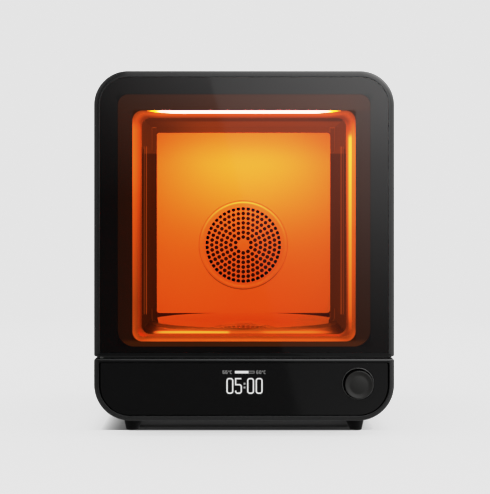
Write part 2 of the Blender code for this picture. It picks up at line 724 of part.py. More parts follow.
def fan_grille():
    """Disc with rings of four-sided holes, every second ring offset by half a pitch."""
    loops = [circle((0, FAN_Z), GRILLE_R, 48)]
    for ring in range(HOLE_RINGS):
        count = HOLE_N0 + HOLE_DN * ring
        radius = HOLE_R0 + HOLE_DR * ring
        for i in range(count):
            angle = 2 * math.pi * (i + 0.5 * (ring % 2)) / count
            centre = (radius * math.cos(angle), FAN_Z + radius * math.sin(angle))
            loops.append(circle(centre, 3.0, 4, angle))
    finish(plate("fan_grille", loops, (94.0, 95.2)), BRIGHT, smooth=False)


def light_cover(name, side):
    cover = bevel(box(name, mirrored(side, 96.5, 99.2), (-45.0, 93.3), LIGHT_Z), 0.6)
    finish(cover, SMOKED, smooth=False)


def light_board(name, side):
    board = box(name, mirrored(side, 99.5, 100.6), (-42.0, 90.0), widen(LIGHT_Z, -3.0))
    finish(board, BOARD, smooth=False)


def top_light():
    cover = box("top_light_cover", span(TOP_LIGHT_X), TOP_LIGHT_Y, (299.2, 304.2))
    finish(bevel(cover, 0.8, segments=2), GLOWING, smooth=False)
    board = box("top_light_board", span(TOP_LIGHT_X + 3), widen(TOP_LIGHT_Y, 1.0), (304.6, 306.0))
    finish(board, BOARD, smooth=False)


# ================================================================ turntable
TABLE_R = 95.0
TABLE_Z0, TABLE_Z1 = 92.5, 96.5


def turntable_glass():
    """Glass disc with chamfered rim and a shallow recess underneath for the hub."""
    thick = TABLE_Z1 - TABLE_Z0
    profile = [(0, thick), (TABLE_R - 0.9, thick), (TABLE_R, thick - 0.9), (TABLE_R, 0.9),
               (TABLE_R - 0.9, 0), (10.0, 0), (10.0, 2.0), (0, 2.0)]
    return finish(turned("turntable_glass", profile, (*TABLE_AXIS, TABLE_Z0), "Z", 40), GLASS)


def turntable_hub():
    profile = [(0, 5.2), (9.3, 5.2), (9.7, 4.8), (9.7, 3.2), (21.4, 3.2), (22.0, 2.6),
               (22.0, 0.4), (21.6, 0), (3.3, 0), (3.3, 2.4), (0, 2.4)]
    return finish(turned("turntable_hub", profile, (*TABLE_AXIS, 89.0), "Z", 20), DARK)


def drive_shaft():
    profile = [(0, 31), (2.7, 31), (3.0, 30.6), (3.0, 0.4), (2.7, 0), (0, 0)]
    return finish(turned("drive_shaft", profile, (*TABLE_AXIS, 60.0), "Z", 12), STEEL)


def shaft_bushing():
    profile = [(11.0, 6.0), (11.0, 5.0), (8.0, 5.0), (8.0, 0), (3.3, 0), (3.3, 6.0)]
    finish(turned("shaft_bushing", profile, (*TABLE_AXIS, 82.3), "Z", 16, closed=True), BRONZE)


def turntable_motor():
    body = bevel(box("turntable_motor", span(21), span(21, TABLE_Y), (34, 66)), 1.5, segments=2)
    add(body, rod("gearbox_nose", TABLE_AXIS, 11, (65, 73.6), "Z", 16))
    cut(body, rod("output_bore", TABLE_AXIS, 3.3, (58, 80), "Z"))
    finish(body, STEEL)


# ================================================================ air and heat
FAN_Y = 113              # middle of the circulation fan


def circulation_fan_housing():
    """Round can open to the front, with four ports through its side."""
    profile = [(47.5, 31.1), (47.5, 0.0), (6.0, 0.0), (6.0, 1.4), (46.0, 1.4), (46.0, 31.1)]
    body = turned("circulation_fan_housing", profile, (0, 128.5, FAN_Z), "FRONT", 24, closed=True)
    cut(body, box_ring("housing_ports", (0, FAN_Y, FAN_Z), 4, radius=46, size=(12, 14, 28),
                       start=math.radians(45)))
    finish(body, STEEL)


def circulation_motor():
    """Motor with a blind bore in the front face for the impeller's stub shaft."""
    profile = [(0, 12.0), (2.4, 12.0), (2.4, 18.4), (17.0, 18.4), (18.0, 17.4), (18.0, 1.0),
               (17.0, 0), (0, 0)]
    finish(turned("circulation_motor", profile, (0, 147.2, FAN_Z), "FRONT", 20), STEEL)


def circulation_impeller():
    profile = [(0, 22.0), (7.0, 22.0), (8.5, 20.0), (9.0, 8.6), (40.0, 8.6), (40.0, 7.2),
               (8.0, 7.2), (8.0, 5.6), (2.0, 5.6), (2.0, 0.0), (0, 0.0)]
    body = turned("circulation_impeller", profile, (0, 130.5, FAN_Z), "FRONT", 20)
    add(body, box_ring("blades", (0, 113.9, FAN_Z), 9, radius=32.5, size=(12, 16.6, 1.2),
                       twist=0.55))
    return finish(body, DARK)


def heater_coil():
    """Open ring round the fan, each end turned back to a lead running to the rear."""
    ring = [(x, 112.0, z) for x, z in arc((0, FAN_Z), 54, -80, 340, 20)]
    (x0, _, z0), (x1, _, z1) = ring[0], ring[-1]
    bend_y, end_y = 116.5, 134.0
    points = [(x0, end_y, z0), (x0, bend_y, z0), *ring, (x1, bend_y, z1), (x1, end_y, z1)]
    finish(tube("heater_coil", points, 3.2, 1), STEEL)


def temperature_sensor():
    profile = [(0, 14), (1.4, 14), (2.0, 13.2), (2.0, 6), (3.5, 6), (3.5, 0), (0, 0)]
    finish(turned("temperature_sensor", profile, (-72, 112, 232), "FRONT", 16), STEEL)


# ================================================================ electronics
FAN2_Y = 143             # middle of the cooling fan rotor
# centre line of the cable from power supply to main board: x, y, z
CABLE_POINTS = [(-92, -5.8, 40), (-92, -18, 38), (-84, -34, 30), (-66, -46, 23),
                (-30, -52, 21.5), (6, -54, 21.5), (24, -52, 24), (34.2, -50, 30.5),
                (44, -48, 30.8)]
# socket opening, x and z: a rectangle with its upper corners cut off
SOCKET = [(-98.2, 35.2), (-70.4, 35.2), (-70.4, 49.5), (-75.5, 54.8), (-93.1, 54.8),
          (-98.2, 49.5)]
# rocker section about its pivot, y and z: a shallow V on the rear face
ROCKER_SECTION = [(-3.0, -9.5), (-6.0, 0.0), (-3.0, 9.5), (4.4, 10.0), (2.9, 0.0), (4.4, -10.0)]


def main_board():
    body = plate("main_board", [rounded_rect((35, 118), (-90, 60), 2, steps=2)], (26.0, 27.6), "Z")
    seat = 27.2          # components sink slightly into the board
    blocks = (((44, 62), (-80, -60), 40), ((70, 98), (-50, -22), 31), ((42, 56), (20, 50), 38))
    components = [box("block", x, y, (seat, top)) for x, y, top in blocks]
    components += [rod("can", (x, 30), 6, (seat, 46), "Z", 16) for x in (80, 98)]
    add(body, joined("components", components))
    finish(body, BOARD, smooth=False)


def power_supply():
    supply = bevel(box("power_supply", (-118, -66), (-5, 112), (26, 62)), 0.8)
    finish(supply, STEEL, smooth=False)


def power_inlet():
    body = box("power_inlet", INLET_X, (122.0, 152.0), INLET_Z)
    flange = rounded_rect(INLET_FLANGE_X, INLET_FLANGE_Z, 2.5, steps=3)
    add(body, plate("inlet_flange", [flange], (150.8, 153.3)))
    cut(body, box("rocker_window", span(6.6, ROCKER_X), (136, 156), span(11, ROCKER_Z)),
        plate("socket", [SOCKET], (137, 156)))
    blades = [box("blade", (x, x + 2), (135, 149), (z, z + 5))
              for x, z in ((-92.6, 40.5), (-78.0, 40.5), (-85.3, 45.6))]
    add(body, joined("socket_blades", blades))
    finish(body, DARK)


def power_rocker():
    """Rocker tilted to its on position about the pivot."""
    cos, sin = math.cos(ROCKER_TILT), math.sin(ROCKER_TILT)
    section = [(ROCKER_Y + cos * y - sin * z, ROCKER_Z + sin * y + cos * z)
               for y, z in ROCKER_SECTION]
    rocker = plate("power_rocker", [section], span(6.2, ROCKER_X), "X")
    return finish(bevel(rocker, 0.4, angle=30), GLOSS, smooth=False)


def cooling_fan_frame():
    outline = rounded_rect(span(23, FAN2_X), span(23, FAN2_Z), 3, steps=3)
    body = plate("cooling_fan_frame", [outline, circle(FAN2_AXIS, 21.5, 32)], (134.0, 149.5))
    spoke_y = (134.0, 136.0)
    add(body, rod("fan_core", FAN2_AXIS, 9.0, (134.0, 136.5), sides=20),
        box("fan_spoke_a", span(22, FAN2_X), spoke_y, span(1.2, FAN2_Z)),
        box("fan_spoke_b", span(1.2, FAN2_X), spoke_y, span(22, FAN2_Z)))
    finish(body, DARK)


def cooling_fan_rotor():
    profile = [(0, 11.4), (8.6, 11.4), (9.4, 10.6), (9.4, 0), (0, 0)]
    body = turned("cooling_fan_rotor", profile, (FAN2_X, 137.2, FAN2_Z), "REAR", 24)
    add(body, box_ring("rotor_blades", (FAN2_X, FAN2_Y, FAN2_Z), 7, radius=14.4,
                       size=(12, 1.2, 10), twist=math.radians(38), twist_axis="X"))
    return finish(body, DARK)


# ================================================================ build
upper_casing()
base_housing()
rear_cover()
for tag, sx, sy in FEET:
    foot("foot_" + tag, sx, sy)
for i, (x, z) in enumerate(SCREWS):
    cover_screw(f"cover_screw_{i + 1}", x, z)
chassis_plate()

pivot("door_pivot", (*HINGE, 200), door_frame(), door_pane(), door_mask(), door_liner(),
      door_seal(), door_magnet())
upper_hinge_bracket()
hinge_pin("upper_hinge_pin", 285.5, 302.5)
hinge_pin("lower_hinge_pin", 59.0, 86.0)

control_fascia()
display_module()
control_board()
encoder_body()
knob_bezel()
pivot("knob_axis", (KNOB_X, -140, KNOB_Z), control_knob(), encoder_shaft(), encoder_rotor())

chamber_flange()
chamber_lip()
chamber_ceiling()
chamber_floor()
chamber_back_panel()
fan_grille()
for tag, side in (("left", -1), ("right", 1)):
    side_wall(f"chamber_{tag}_wall", side)
    light_cover(f"{tag}_light_cover", side)
    light_board(f"{tag}_light_board", side)
top_light()

pivot("turntable_axis", (*TABLE_AXIS, 90), turntable_glass(), turntable_hub(), drive_shaft())
shaft_bushing()
turntable_motor()

circulation_fan_housing()
circulation_motor()
heater_coil()
temperature_sensor()
pivot("circulation_axis", (0, FAN_Y, FAN_Z), circulation_impeller())

main_board()
power_supply()
finish(tube("power_cable", CABLE_POINTS, 1.8, 2), RUBBER)
power_inlet()
pivot("rocker_axis", ROCKER, power_rocker())
cooling_fan_frame()
pivot("cooling_axis", (FAN2_X, FAN2_Y, FAN2_Z), cooling_fan_rotor())
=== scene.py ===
"""A heated light-cure cabinet: fine pieces, materials, studio and camera.

The cabinet stands on the floor plane z = 0, centred on x = 0, with its door towards -Y.
Left and right are as seen from the front, so left is -X. Pieces are measured in millimetres;
materials, lights' targets aside, read positions in metres.
"""
import math

import bmesh
import bpy
from mathutils import Matrix, Vector


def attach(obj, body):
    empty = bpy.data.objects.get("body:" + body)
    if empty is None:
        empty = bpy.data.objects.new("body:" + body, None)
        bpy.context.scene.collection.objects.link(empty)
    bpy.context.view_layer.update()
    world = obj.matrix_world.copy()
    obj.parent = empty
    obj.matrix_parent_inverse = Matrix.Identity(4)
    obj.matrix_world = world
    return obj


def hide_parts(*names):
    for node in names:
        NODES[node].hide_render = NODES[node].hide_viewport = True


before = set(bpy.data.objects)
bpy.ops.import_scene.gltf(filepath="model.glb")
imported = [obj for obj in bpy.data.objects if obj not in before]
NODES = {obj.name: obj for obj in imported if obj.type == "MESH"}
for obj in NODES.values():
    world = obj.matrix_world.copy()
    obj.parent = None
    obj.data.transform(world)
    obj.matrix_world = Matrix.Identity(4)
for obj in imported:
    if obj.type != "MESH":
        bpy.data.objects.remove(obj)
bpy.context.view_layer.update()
MILLI = 0.001                       # metres in a millimetre
SIDES = (-1, 1)                     # left, right

# ---------------------------------------------------------------- shared dimensions (mm)
HALF = 137.5                        # half the cabinet's width
TOP = 335.0
SPLIT_LOW, SPLIT_HIGH = 71.6, 73.4  # gap between the base and what stands above it
BASE_Z = 14.8                       # underside of the base
WALL = 3.0
TOP_RADIUS, BASE_RADIUS = 31.0, 33.0
FRONT, DOOR_REAR = -144.5, -120.0
CASE_FRONT, CASE_REAR, REAR = -119.0, 148.0, 153.5
HINGE_X, HINGE_Y, HINGE_RADIUS = -131.5, -128.0, 8.0
LEAF_LOW, LEAF_HIGH = 293.0, 295.5  # upper hinge leaf
KNOB_X, KNOB_Z, KNOB_TIP = 104.3, 48.8, -153.5
GRILLE_Z = 170.5                    # centre of the round grille in the chamber
COVE_FRONT, COVE_DEPTH = -115.7, 15.4
TABLE_Y, TABLE_RADIUS, TABLE_Z = -10.5, 95.0, 92.5
COOLING_X, COOLING_Z = 70.0, 45.0   # axis of the rear cooling fan
FOOT_X, FOOT_Y = 103.8, 103.0       # foot stems
SCREW_X, SCREW_HIGH, SCREW_LOW = 127, 296, 51
COVER_SCREWS = [(side * SCREW_X, z) for z in (SCREW_HIGH, SCREW_LOW) for side in SIDES]
EYE_X, EYE_Y, EYE_Z = -0.0045, -1.2915, 0.2007      # the camera's place, in metres

scene = bpy.context.scene
VISUAL = bpy.data.collections.new("visual")
scene.collection.children.link(VISUAL)


# ================================================================ mesh helpers
def linked(obj, collection=VISUAL):
    collection.objects.link(obj)
    return obj


def as_object(name, build, collection=VISUAL):
    """Turns an editing mesh into a linked object."""
    mesh = bpy.data.meshes.new(name)
    build.to_mesh(mesh)
    build.free()
    return linked(bpy.data.objects.new(name, mesh), collection)


def settle(obj, limit=0.02):
    """The object's evaluated shape as a plain welded mesh, normals outward.

    limit is the angle in degrees under which faces count as flat and merge; 0 keeps them all.
    """
    weld = 0.000004
    bpy.context.view_layer.update()
    evaluated = obj.evaluated_get(bpy.context.evaluated_depsgraph_get())
    mesh = bpy.data.meshes.new_from_object(evaluated)
    matrix, name = obj.matrix_world.copy(), obj.name
    bpy.data.objects.remove(obj, do_unlink=True)
    build = bmesh.new()
    build.from_mesh(mesh)
    build.transform(matrix)
    bmesh.ops.remove_doubles(build, verts=build.verts, dist=weld)
    bmesh.ops.dissolve_degenerate(build, dist=weld, edges=build.edges)
    if limit:
        bmesh.ops.dissolve_limit(build, angle_limit=math.radians(limit),
                                 verts=build.verts, edges=build.edges)
    bmesh.ops.recalc_face_normals(build, faces=build.faces)
    build.to_mesh(mesh)
    build.free()
    mesh.materials.clear()
    return linked(bpy.data.objects.new(name, mesh))


def rrect(x0, z0, x1, z1, low_radius, high_radius=None, seg=20):
    """Rounded rectangle, with one radius for the low corners and one for the high ones."""
    low = low_radius
    high = low if high_radius is None else high_radius
    points = []
    for x, z, radius, start in ((x0 + low, z0 + low, low, 180), (x1 - low, z0 + low, low, 270),
                                (x1 - high, z1 - high, high, 0), (x0 + high, z1 - high, high, 90)):
        if radius <= 0:
            points.append((x, z))
            continue
        for i in range(seg + 1):
            angle = math.radians(start + 90 * i / seg)
            points.append((x + radius * math.cos(angle), z + radius * math.sin(angle)))
    return points


def outline(half, z0, z1, low_radius, high_radius=None, seg=24):
    """Rounded rectangle centred on x = 0."""
    return rrect(-half, z0, half, z1, low_radius, high_radius, seg)


def circle(x, z, radius, count=24, phase=0.0):
    angles = [2 * math.pi * i / count + phase for i in range(count)]
    return [(x + radius * math.cos(angle), z + radius * math.sin(angle)) for angle in angles]


def at_depth(points, y):
    return [(x, y, z) for x, z in points]


def plate(loops, low, high, along="Y", name="part"):
    """Flat outline with holes, from low to high along an axis (Y or Z)."""
    curve = bpy.data.curves.new(name, "CURVE")
    curve.dimensions = "2D"
    curve.fill_mode = "BOTH"
    curve.extrude = (high - low) / 2 * MILLI
    for loop in loops:
        spline = curve.splines.new("POLY")
        spline.points.add(len(loop) - 1)
        for point, (across, up) in zip(spline.points, loop):
            point.co = (across * MILLI, up * MILLI, 0, 1)
        spline.use_cyclic_u = True
    obj = linked(bpy.data.objects.new(name, curve))
    middle = (low + high) / 2 * MILLI
    if along == "Y":
        obj.rotation_euler = (math.pi / 2, 0, 0)
        obj.location = (0, middle, 0)
    else:
        obj.location = (0, 0, middle)
    return settle(obj)


def box(x0, y0, z0, x1, y1, z1, name="part"):
    build = bmesh.new()
    bmesh.ops.create_cube(build, size=1.0)
    bmesh.ops.scale(build, vec=Vector((x1 - x0, y1 - y0, z1 - z0)) * MILLI, verts=build.verts)
    centre = Vector((x0 + x1, y0 + y1, z0 + z1)) / 2 * MILLI
    bmesh.ops.translate(build, vec=centre, verts=build.verts)
    return as_object(name, build)


def rod(centre, radius, low, high, along="Z", seg=48, end_radius=None):
    """Cylinder or cone along Y or Z; centre holds the other two coordinates."""
    build = bmesh.new()
    end_radius = radius if end_radius is None else end_radius
    bmesh.ops.create_cone(build, cap_ends=True, segments=seg, radius1=radius * MILLI,
                          radius2=end_radius * MILLI, depth=(high - low) * MILLI)
    middle = (low + high) / 2
    if along == "Z":
        matrix = Matrix.Translation(Vector((centre[0], centre[1], middle)) * MILLI)
    else:
        matrix = (Matrix.Translation(Vector((centre[0], middle, centre[1])) * MILLI)
                  @ Matrix.Rotation(-math.pi / 2, 4, "X"))
    build.transform(matrix)
    return as_object("rod", build)


def turned(name, profile, location, facing="Z", steps=96, closed=False):
    """Turned part; profile is (radius, height) from the top, down the outer side, to the foot."""
    mesh = bpy.data.meshes.new(name)
    edges = [(i, i + 1) for i in range(len(profile) - 1)]
    if closed:
        edges.append((len(profile) - 1, 0))
    mesh.from_pydata([(radius * MILLI, 0, height * MILLI) for radius, height in profile], edges, [])
    obj = linked(bpy.data.objects.new(name, mesh))
    screw = obj.modifiers.new("turn", "SCREW")
    screw.axis = "Z"
    screw.steps = screw.render_steps = steps
    screw.use_merge_vertices = True
    screw.merge_threshold = 0.000005
    tilt = {"Z": 0, "FRONT": math.pi / 2, "REAR": -math.pi / 2}[facing]
    obj.rotation_euler = (tilt, 0, 0)
    obj.location = Vector(location) * MILLI
    return settle(obj, limit=0)


def fillet(points, radii, steps=6):
    """Rounds inner corners of an open profile; radii is {index: radius}."""
    rounded = []
    for i, point in enumerate(points):
        radius = radii.get(i)
        if not radius:
            rounded.append(point)
            continue
        corner = Vector(point)
        back = (Vector(points[i - 1]) - corner).normalized()
        ahead = (Vector(points[i + 1]) - corner).normalized()
        angle = back.angle(ahead)
        reach = radius / math.tan(angle / 2)
        centre = corner + (back + ahead).normalized() * (radius / math.sin(angle / 2))
        start, end = corner + back * reach - centre, corner + ahead * reach - centre
        sweep = start.angle(end) * (1 if start.cross(end) > 0 else -1)
        for k in range(steps + 1):
            turn = sweep * k / steps
            rounded.append((centre.x + start.x * math.cos(turn) - start.y * math.sin(turn),
                            centre.y + start.x * math.sin(turn) + start.y * math.cos(turn)))
    return rounded


def new_loops(build, rings):
    return [[build.verts.new((x * MILLI, y * MILLI, z * MILLI)) for x, y, z in ring]
            for ring in rings]


def bridge(build, loops, joined=False, wrap=True):
    """Quads between neighbouring loops; joined links the last to the first."""
    following = loops[1:] + loops[:1] if joined else loops[1:]
    for this, after in zip(loops, following):
        for i in range(len(this) if wrap else len(this) - 1):
            j = (i + 1) % len(this)
            build.faces.new((this[i], this[j], after[j], after[i]))


def skin(name, rings, ends="flat"):
    """Surface over equal loops of (x, y, z); the ends are "flat", "joined" or "open"."""
    build = bmesh.new()
    loops = new_loops(build, rings)
    bridge(build, loops, joined=ends == "joined")
    if ends == "flat":
        build.faces.new(list(reversed(loops[0])))
        build.faces.new(loops[-1])
    bmesh.ops.recalc_face_normals(build, faces=build.faces)
    return as_object(name, build)


def boolean(obj, others, operation):
    for other in others:
        modifier = obj.modifiers.new("boolean", "BOOLEAN")
        modifier.operation = operation
        modifier.solver = "EXACT"
        modifier.object = other
    result = settle(obj)
    for other in others:
        bpy.data.objects.remove(other, do_unlink=True)
    return result


def cut(obj, *others):
    return boolean(obj, others, "DIFFERENCE")


def add(obj, *others):
    return boolean(obj, others, "UNION")


def bevel(obj, width, angle):
    """Rolls every edge sharper than the angle in degrees."""
    modifier = obj.modifiers.new("edge", "BEVEL")
    modifier.width = width * MILLI
    modifier.segments = 2
    modifier.limit_method = "ANGLE"
    modifier.angle_limit = math.radians(angle)
    return obj


def softened(obj, width, angle=60):
    return settle(bevel(obj, width, angle))


def piece(obj, body, slot, node=None, look=None, angle=32, second=(), flat=False):
    """Finishes a part: its material, shading and what the frame is told about it.

    look names the material where it isn't the slot's own. second is [(look, test)] for faces
    with another finish or with painted shade; test takes the face's centre in mm and its normal.
    """
    obj.data.materials.clear()
    obj.data.materials.append(LOOKS[look or slot])
    for i, (other, test) in enumerate(second, 1):
        obj.data.materials.append(LOOKS[other])
        for face in obj.data.polygons:
            if test(face.center / MILLI, face.normal):
                face.material_index = i
    obj.data.shade_smooth()
    obj.data.set_sharp_from_angle(angle=math.radians(angle))
    if flat:
        modifier = obj.modifiers.new("flat_faces", "WEIGHTED_NORMAL")
        modifier.weight = 100
        modifier.keep_sharp = True
    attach(obj, body)
    if node:
        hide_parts(node)


# ================================================================ shader helpers
class Value:
    """An output in a node tree; arithmetic on it adds the nodes that work it out."""

    def __init__(self, tree, socket):
        self.tree = tree
        self.socket = socket

    def __getitem__(self, output):
        """Another output of the same node."""
        return Value(self.tree, self.socket.node.outputs[output])

    def __add__(self, other):
        return self.tree.math("ADD", self, other)

    def __radd__(self, other):
        return self.tree.math("ADD", other, self)

    def __sub__(self, other):
        return self.tree.math("SUBTRACT", self, other)

    def __rsub__(self, other):
        return self.tree.math("SUBTRACT", other, self)

    def __mul__(self, other):
        return self.tree.math("MULTIPLY", self, other)

    def __truediv__(self, other):
        return self.tree.math("DIVIDE", self, other)

    def __pow__(self, other):
        return self.tree.math("POWER", self, other)

    def __abs__(self):
        return self.tree.math("ABSOLUTE", self)

    def sqrt(self):
        return self.tree.math("SQRT", self)

    def above(self, limit):
        return self.tree.math("GREATER_THAN", self, limit)

    def below(self, limit):
        return self.tree.math("LESS_THAN", self, limit)

    def at_least(self, limit):
        return self.tree.math("MAXIMUM", self, limit)

    def scaled(self, by, plus):
        return self.tree.math("MULTIPLY_ADD", self, by, plus)

    def bell(self, centre, width):
        offset = (self - centre) / width
        return self.tree.math("EXPONENT", offset * offset * -1.0)

    def step(self, start, end, low=0.0, high=1.0, kind="SMOOTHSTEP"):
        """Goes from low at start to high at end, and stays level beyond them."""
        return self.tree.add("MapRange", {"Value": self, "From Min": start, "From Max": end,
                                          "To Min": low, "To Max": high},
                             interpolation_type=kind)["Result"]

    def ramp(self, stops):
        """Grey ramp through (position, level) stops."""
        ramp = self.tree.add("ValToRGB", {"Fac": self})
        elements = ramp.socket.node.color_ramp.elements
        while len(elements) < len(stops):
            elements.new(0.5)
        for element, (position, level) in zip(elements, stops):
            element.position = position
            element.color = (level, level, level, 1)
        return ramp


class Tree:
    """Short way to write the node tree of a material or a world."""

    def __init__(self, name, world=None):
        self.owner = world or bpy.data.materials.new(name)
        self.owner.use_nodes = True
        self.node_tree = self.owner.node_tree
        self.node_tree.nodes.clear()
        kind = "ShaderNodeOutputWorld" if world else "ShaderNodeOutputMaterial"
        self.output = self.node_tree.nodes.new(kind)
        self.place = None

    def add(self, kind, inputs=None, **settings):
        node = self.node_tree.nodes.new("ShaderNode" + kind)
        for key, value in settings.items():
            setattr(node, key, value)
        for key, value in (inputs or {}).items():
            self.put(node.inputs[key], value)
        return Value(self, node.outputs[0])

    def put(self, socket, value):
        if isinstance(value, Value):
            self.node_tree.links.new(value.socket, socket)
        elif socket.type == "RGBA" and len(value) == 3:
            socket.default_value = (*value, 1)
        else:
            socket.default_value = value

    def math(self, operation, *values, clamp=False):
        return self.add("Math", dict(enumerate(values)), operation=operation, use_clamp=clamp)

    def object_place(self):
        """Object coordinates, from one node shared by the whole tree."""
        if self.place is None:
            self.place = self.add("TexCoord")["Object"]
        return self.place

    def xyz(self, vector=None):
        parts = self.add("SeparateXYZ", {0: vector or self.object_place()})
        return [parts[i] for i in range(3)]

    def noise(self, scale, detail=2.0, rough=0.5, stretch=None, distortion=0.0):
        """Noise over the object, squeezed by stretch along each axis."""
        place = self.object_place()
        if stretch:
            place = self.add("Mapping", {"Scale": stretch, "Vector": place})
        return self.add("TexNoise", {"Scale": scale, "Detail": detail, "Roughness": rough,
                                     "Distortion": distortion, "Vector": place})["Fac"]

    def tinted(self, colour, tone):
        """A fixed colour times a varying tone."""
        return self.add("VectorMath", {0: colour, "Scale": tone}, operation="SCALE")

    def blend(self, factor, first, second):
        """Mix of two colours."""
        return self.add("Mix", {0: factor, 6: first, 7: second}, data_type="RGBA")[2]

    def mix(self, factor, first, second):
        """Mix of two shaders."""
        return self.add("MixShader", {0: factor, 1: first, 2: second})

    def bump(self, height, strength, distance):
        return self.add("Bump", {"Strength": strength, "Distance": distance, "Height": height})

    def surface(self, shader):
        self.put(self.output.inputs["Surface"], shader)
        return self.owner


# ================================================================ plastics, rubber and metals
WHITE = (1, 1, 1, 1)


def moulded(name, base, rough, grain=2600.0, grain_amount=0.30, vary=0.16, dust=0.0, spec=0.5):
    """Injection-moulded plastic: spark-eroded grain, slight tone and gloss variation."""
    tree = Tree(name)
    fine = tree.noise(scale=grain, detail=3.0, rough=0.6)
    cell = tree.add("TexVoronoi", {"Scale": grain * 0.55, "Vector": tree.object_place()})
    broad = tree.noise(scale=14.0, detail=3.0, rough=0.55)
    colour = tree.tinted(base, broad.scaled(vary, 1 - vary / 2) * fine.scaled(0.22, 0.89))
    if dust:
        # patches on faces that look upward
        upward = tree.xyz(tree.add("NewGeometry")["Normal"])[2]
        patches = tree.noise(scale=900, detail=4, rough=0.7).step(0.5, 0.75)
        cover = upward.step(0.55, 1.0) * patches
        colour = tree.blend(cover * dust, colour, (0.16, 0.155, 0.15))
    roughness = broad.scaled(0.10, rough - 0.05) + fine.scaled(0.10, -0.05)
    height = fine * 0.6 + cell * 0.4
    return tree.surface(tree.add("BsdfPrincipled", {
        "Base Color": colour, "Roughness": roughness, "Specular IOR Level": spec,
        "Normal": tree.bump(height, strength=grain_amount, distance=0.00004)}))


def skirt_plastic():
    """Skirt plastic, darker along its lowest few millimetres, with a faint painted glow above them;
    both are set so the skirt reads as the shaded floor under the cabinet.
    """
    tree = Tree("skirt_plastic_look")
    z = tree.xyz()[2]
    grain = tree.noise(scale=1500.0, detail=3.0, rough=0.6)
    colour = tree.blend(z.step(0.0010, 0.0045), (0.033, 0.033, 0.033), (0.070, 0.070, 0.070))
    # painted glow: starts above the floor and is brightest low down
    glow = z.step(0.0015, 0.0045) * z.step(0.011, 0.005, low=0.007, high=0.0115)
    return tree.surface(tree.add("BsdfPrincipled", {
        "Base Color": colour, "Roughness": 0.6, "Specular IOR Level": 0.2,
        "Normal": tree.bump(grain, strength=0.3, distance=0.00004),
        "Emission Color": WHITE, "Emission Strength": glow}))


def gloss_black():
    """Polished black: mirror-like with a trace of haze and fine handling marks."""
    tree = Tree("gloss_black_look")
    smudge = tree.noise(scale=22.0, detail=5.0, rough=0.62, distortion=0.6).step(0.50, 0.78)
    micro = tree.noise(scale=700.0)
    ripple = tree.noise(scale=45.0, detail=1.0, rough=0.4)
    return tree.surface(tree.add("BsdfPrincipled", {
        "Base Color": (0.0028, 0.0028, 0.0029),
        "Roughness": smudge * 0.035 + micro.scaled(0.01, 0.03),
        "Specular IOR Level": 0.5,
        "Normal": tree.bump(ripple, strength=0.02, distance=0.0002)}))


def flat_black_for_print_and_shade():
    """Flat black with no gloss of its own: ink printed on the pane's rear face, and painted shade
    in gaps and recesses.
    """
    tree = Tree("mask_black_look")
    colour = tree.blend(tree.noise(scale=900.0), (0.0012, 0.0012, 0.0012),
                        (0.0020, 0.0020, 0.0021))
    return tree.surface(tree.add("BsdfPrincipled", {"Base Color": colour, "Roughness": 0.9,
                                                    "Specular IOR Level": 0.0}))


def brushed(name, base, rough, axis="X", strength=0.12, scale=60.0, squeeze=40.0):
    """Metal brushed along an axis, with uneven sheen and faint staining."""
    tree = Tree(name)
    stretch = {"X": (1, squeeze, squeeze), "Z": (squeeze, squeeze, 1)}[axis]
    line = tree.noise(scale, detail=4.0, rough=0.65, stretch=stretch)
    broad = tree.noise(scale=9.0, detail=4.0, rough=0.6)
    colour = tree.tinted(base, broad.scaled(0.1, 0.95) * line.scaled(0.12, 0.94))
    return tree.surface(tree.add("BsdfPrincipled", {
        "Base Color": colour, "Metallic": 1.0,
        "Roughness": line.scaled(0.14, rough - 0.07) + broad.scaled(0.06, -0.03),
        "Normal": tree.bump(line, strength=strength, distance=0.00003)}))


def enamel(name, base, rough, glow=None):
    """Baked dark enamel on sheet steel: faint orange peel, fine metallic fleck; glow, where given,
    is painted lamp light added as emission.
    """
    tree = Tree(name)
    peel = tree.noise(scale=420.0)
    fleck = tree.noise(scale=5200.0)
    broad = tree.noise(scale=11.0, detail=3.0)
    inputs = {"Base Color": tree.tinted(base, broad.scaled(0.25, 0.87) * fleck.scaled(0.35, 0.82)),
              "Metallic": 0.35, "Roughness": peel.scaled(0.10, rough - 0.05),
              "Normal": tree.bump(peel, strength=0.10, distance=0.00008)}
    if glow:
        inputs.update({"Emission Color": WHITE, "Emission Strength": glow(tree)})
    return tree.surface(tree.add("BsdfPrincipled", inputs))


def matte_enamel(name, base, glow, sheen, rough=0.40, open_glow=0.0, hue=None):
    """Flat dark enamel that stays matte at grazing angles.

    glow(tree) is painted lamp light, as emission; open_glow the painted light that faces turned
    to the sides add when seen squarely, and hue the colour of the glow when seen through the pane.
    """
    tree = Tree(name)
    peel = tree.noise(scale=420.0)
    tone = tree.noise(scale=9.0, detail=3.0).scaled(0.35, 0.82)
    colour = tree.tinted(base, tone * peel.scaled(0.2, 0.9))
    normal = tree.bump(peel, strength=0.10, distance=0.00008)
    diffuse = tree.add("BsdfDiffuse", {"Color": colour, "Normal": normal})
    glossy = tree.add("BsdfGlossy", {"Color": WHITE, "Roughness": rough, "Normal": normal})
    # painted lamp light, added as emission below
    level = glow(tree)
    if open_glow:
        geometry = tree.add("NewGeometry")
        facing = tree.add("VectorMath", {0: geometry["Normal"], 1: geometry["Incoming"]},
                          operation="DOT_PRODUCT")["Value"]
        square = facing * facing
        sideways = abs(tree.xyz(geometry["True Normal"])[0]).step(0.5, 0.9)
        level = level + (square * sideways).step(0.02, 0.60) * open_glow
    glow_colour = WHITE
    if hue:
        behind_pane = tree.add("LightPath")["Transparent Depth"].above(0.5)
        glow_colour = tree.blend(behind_pane, WHITE, hue)
    light = tree.add("Emission", {"Color": glow_colour, "Strength": level * tone})
    return tree.surface(tree.add("AddShader", {0: tree.mix(sheen, diffuse, glossy), 1: light}))


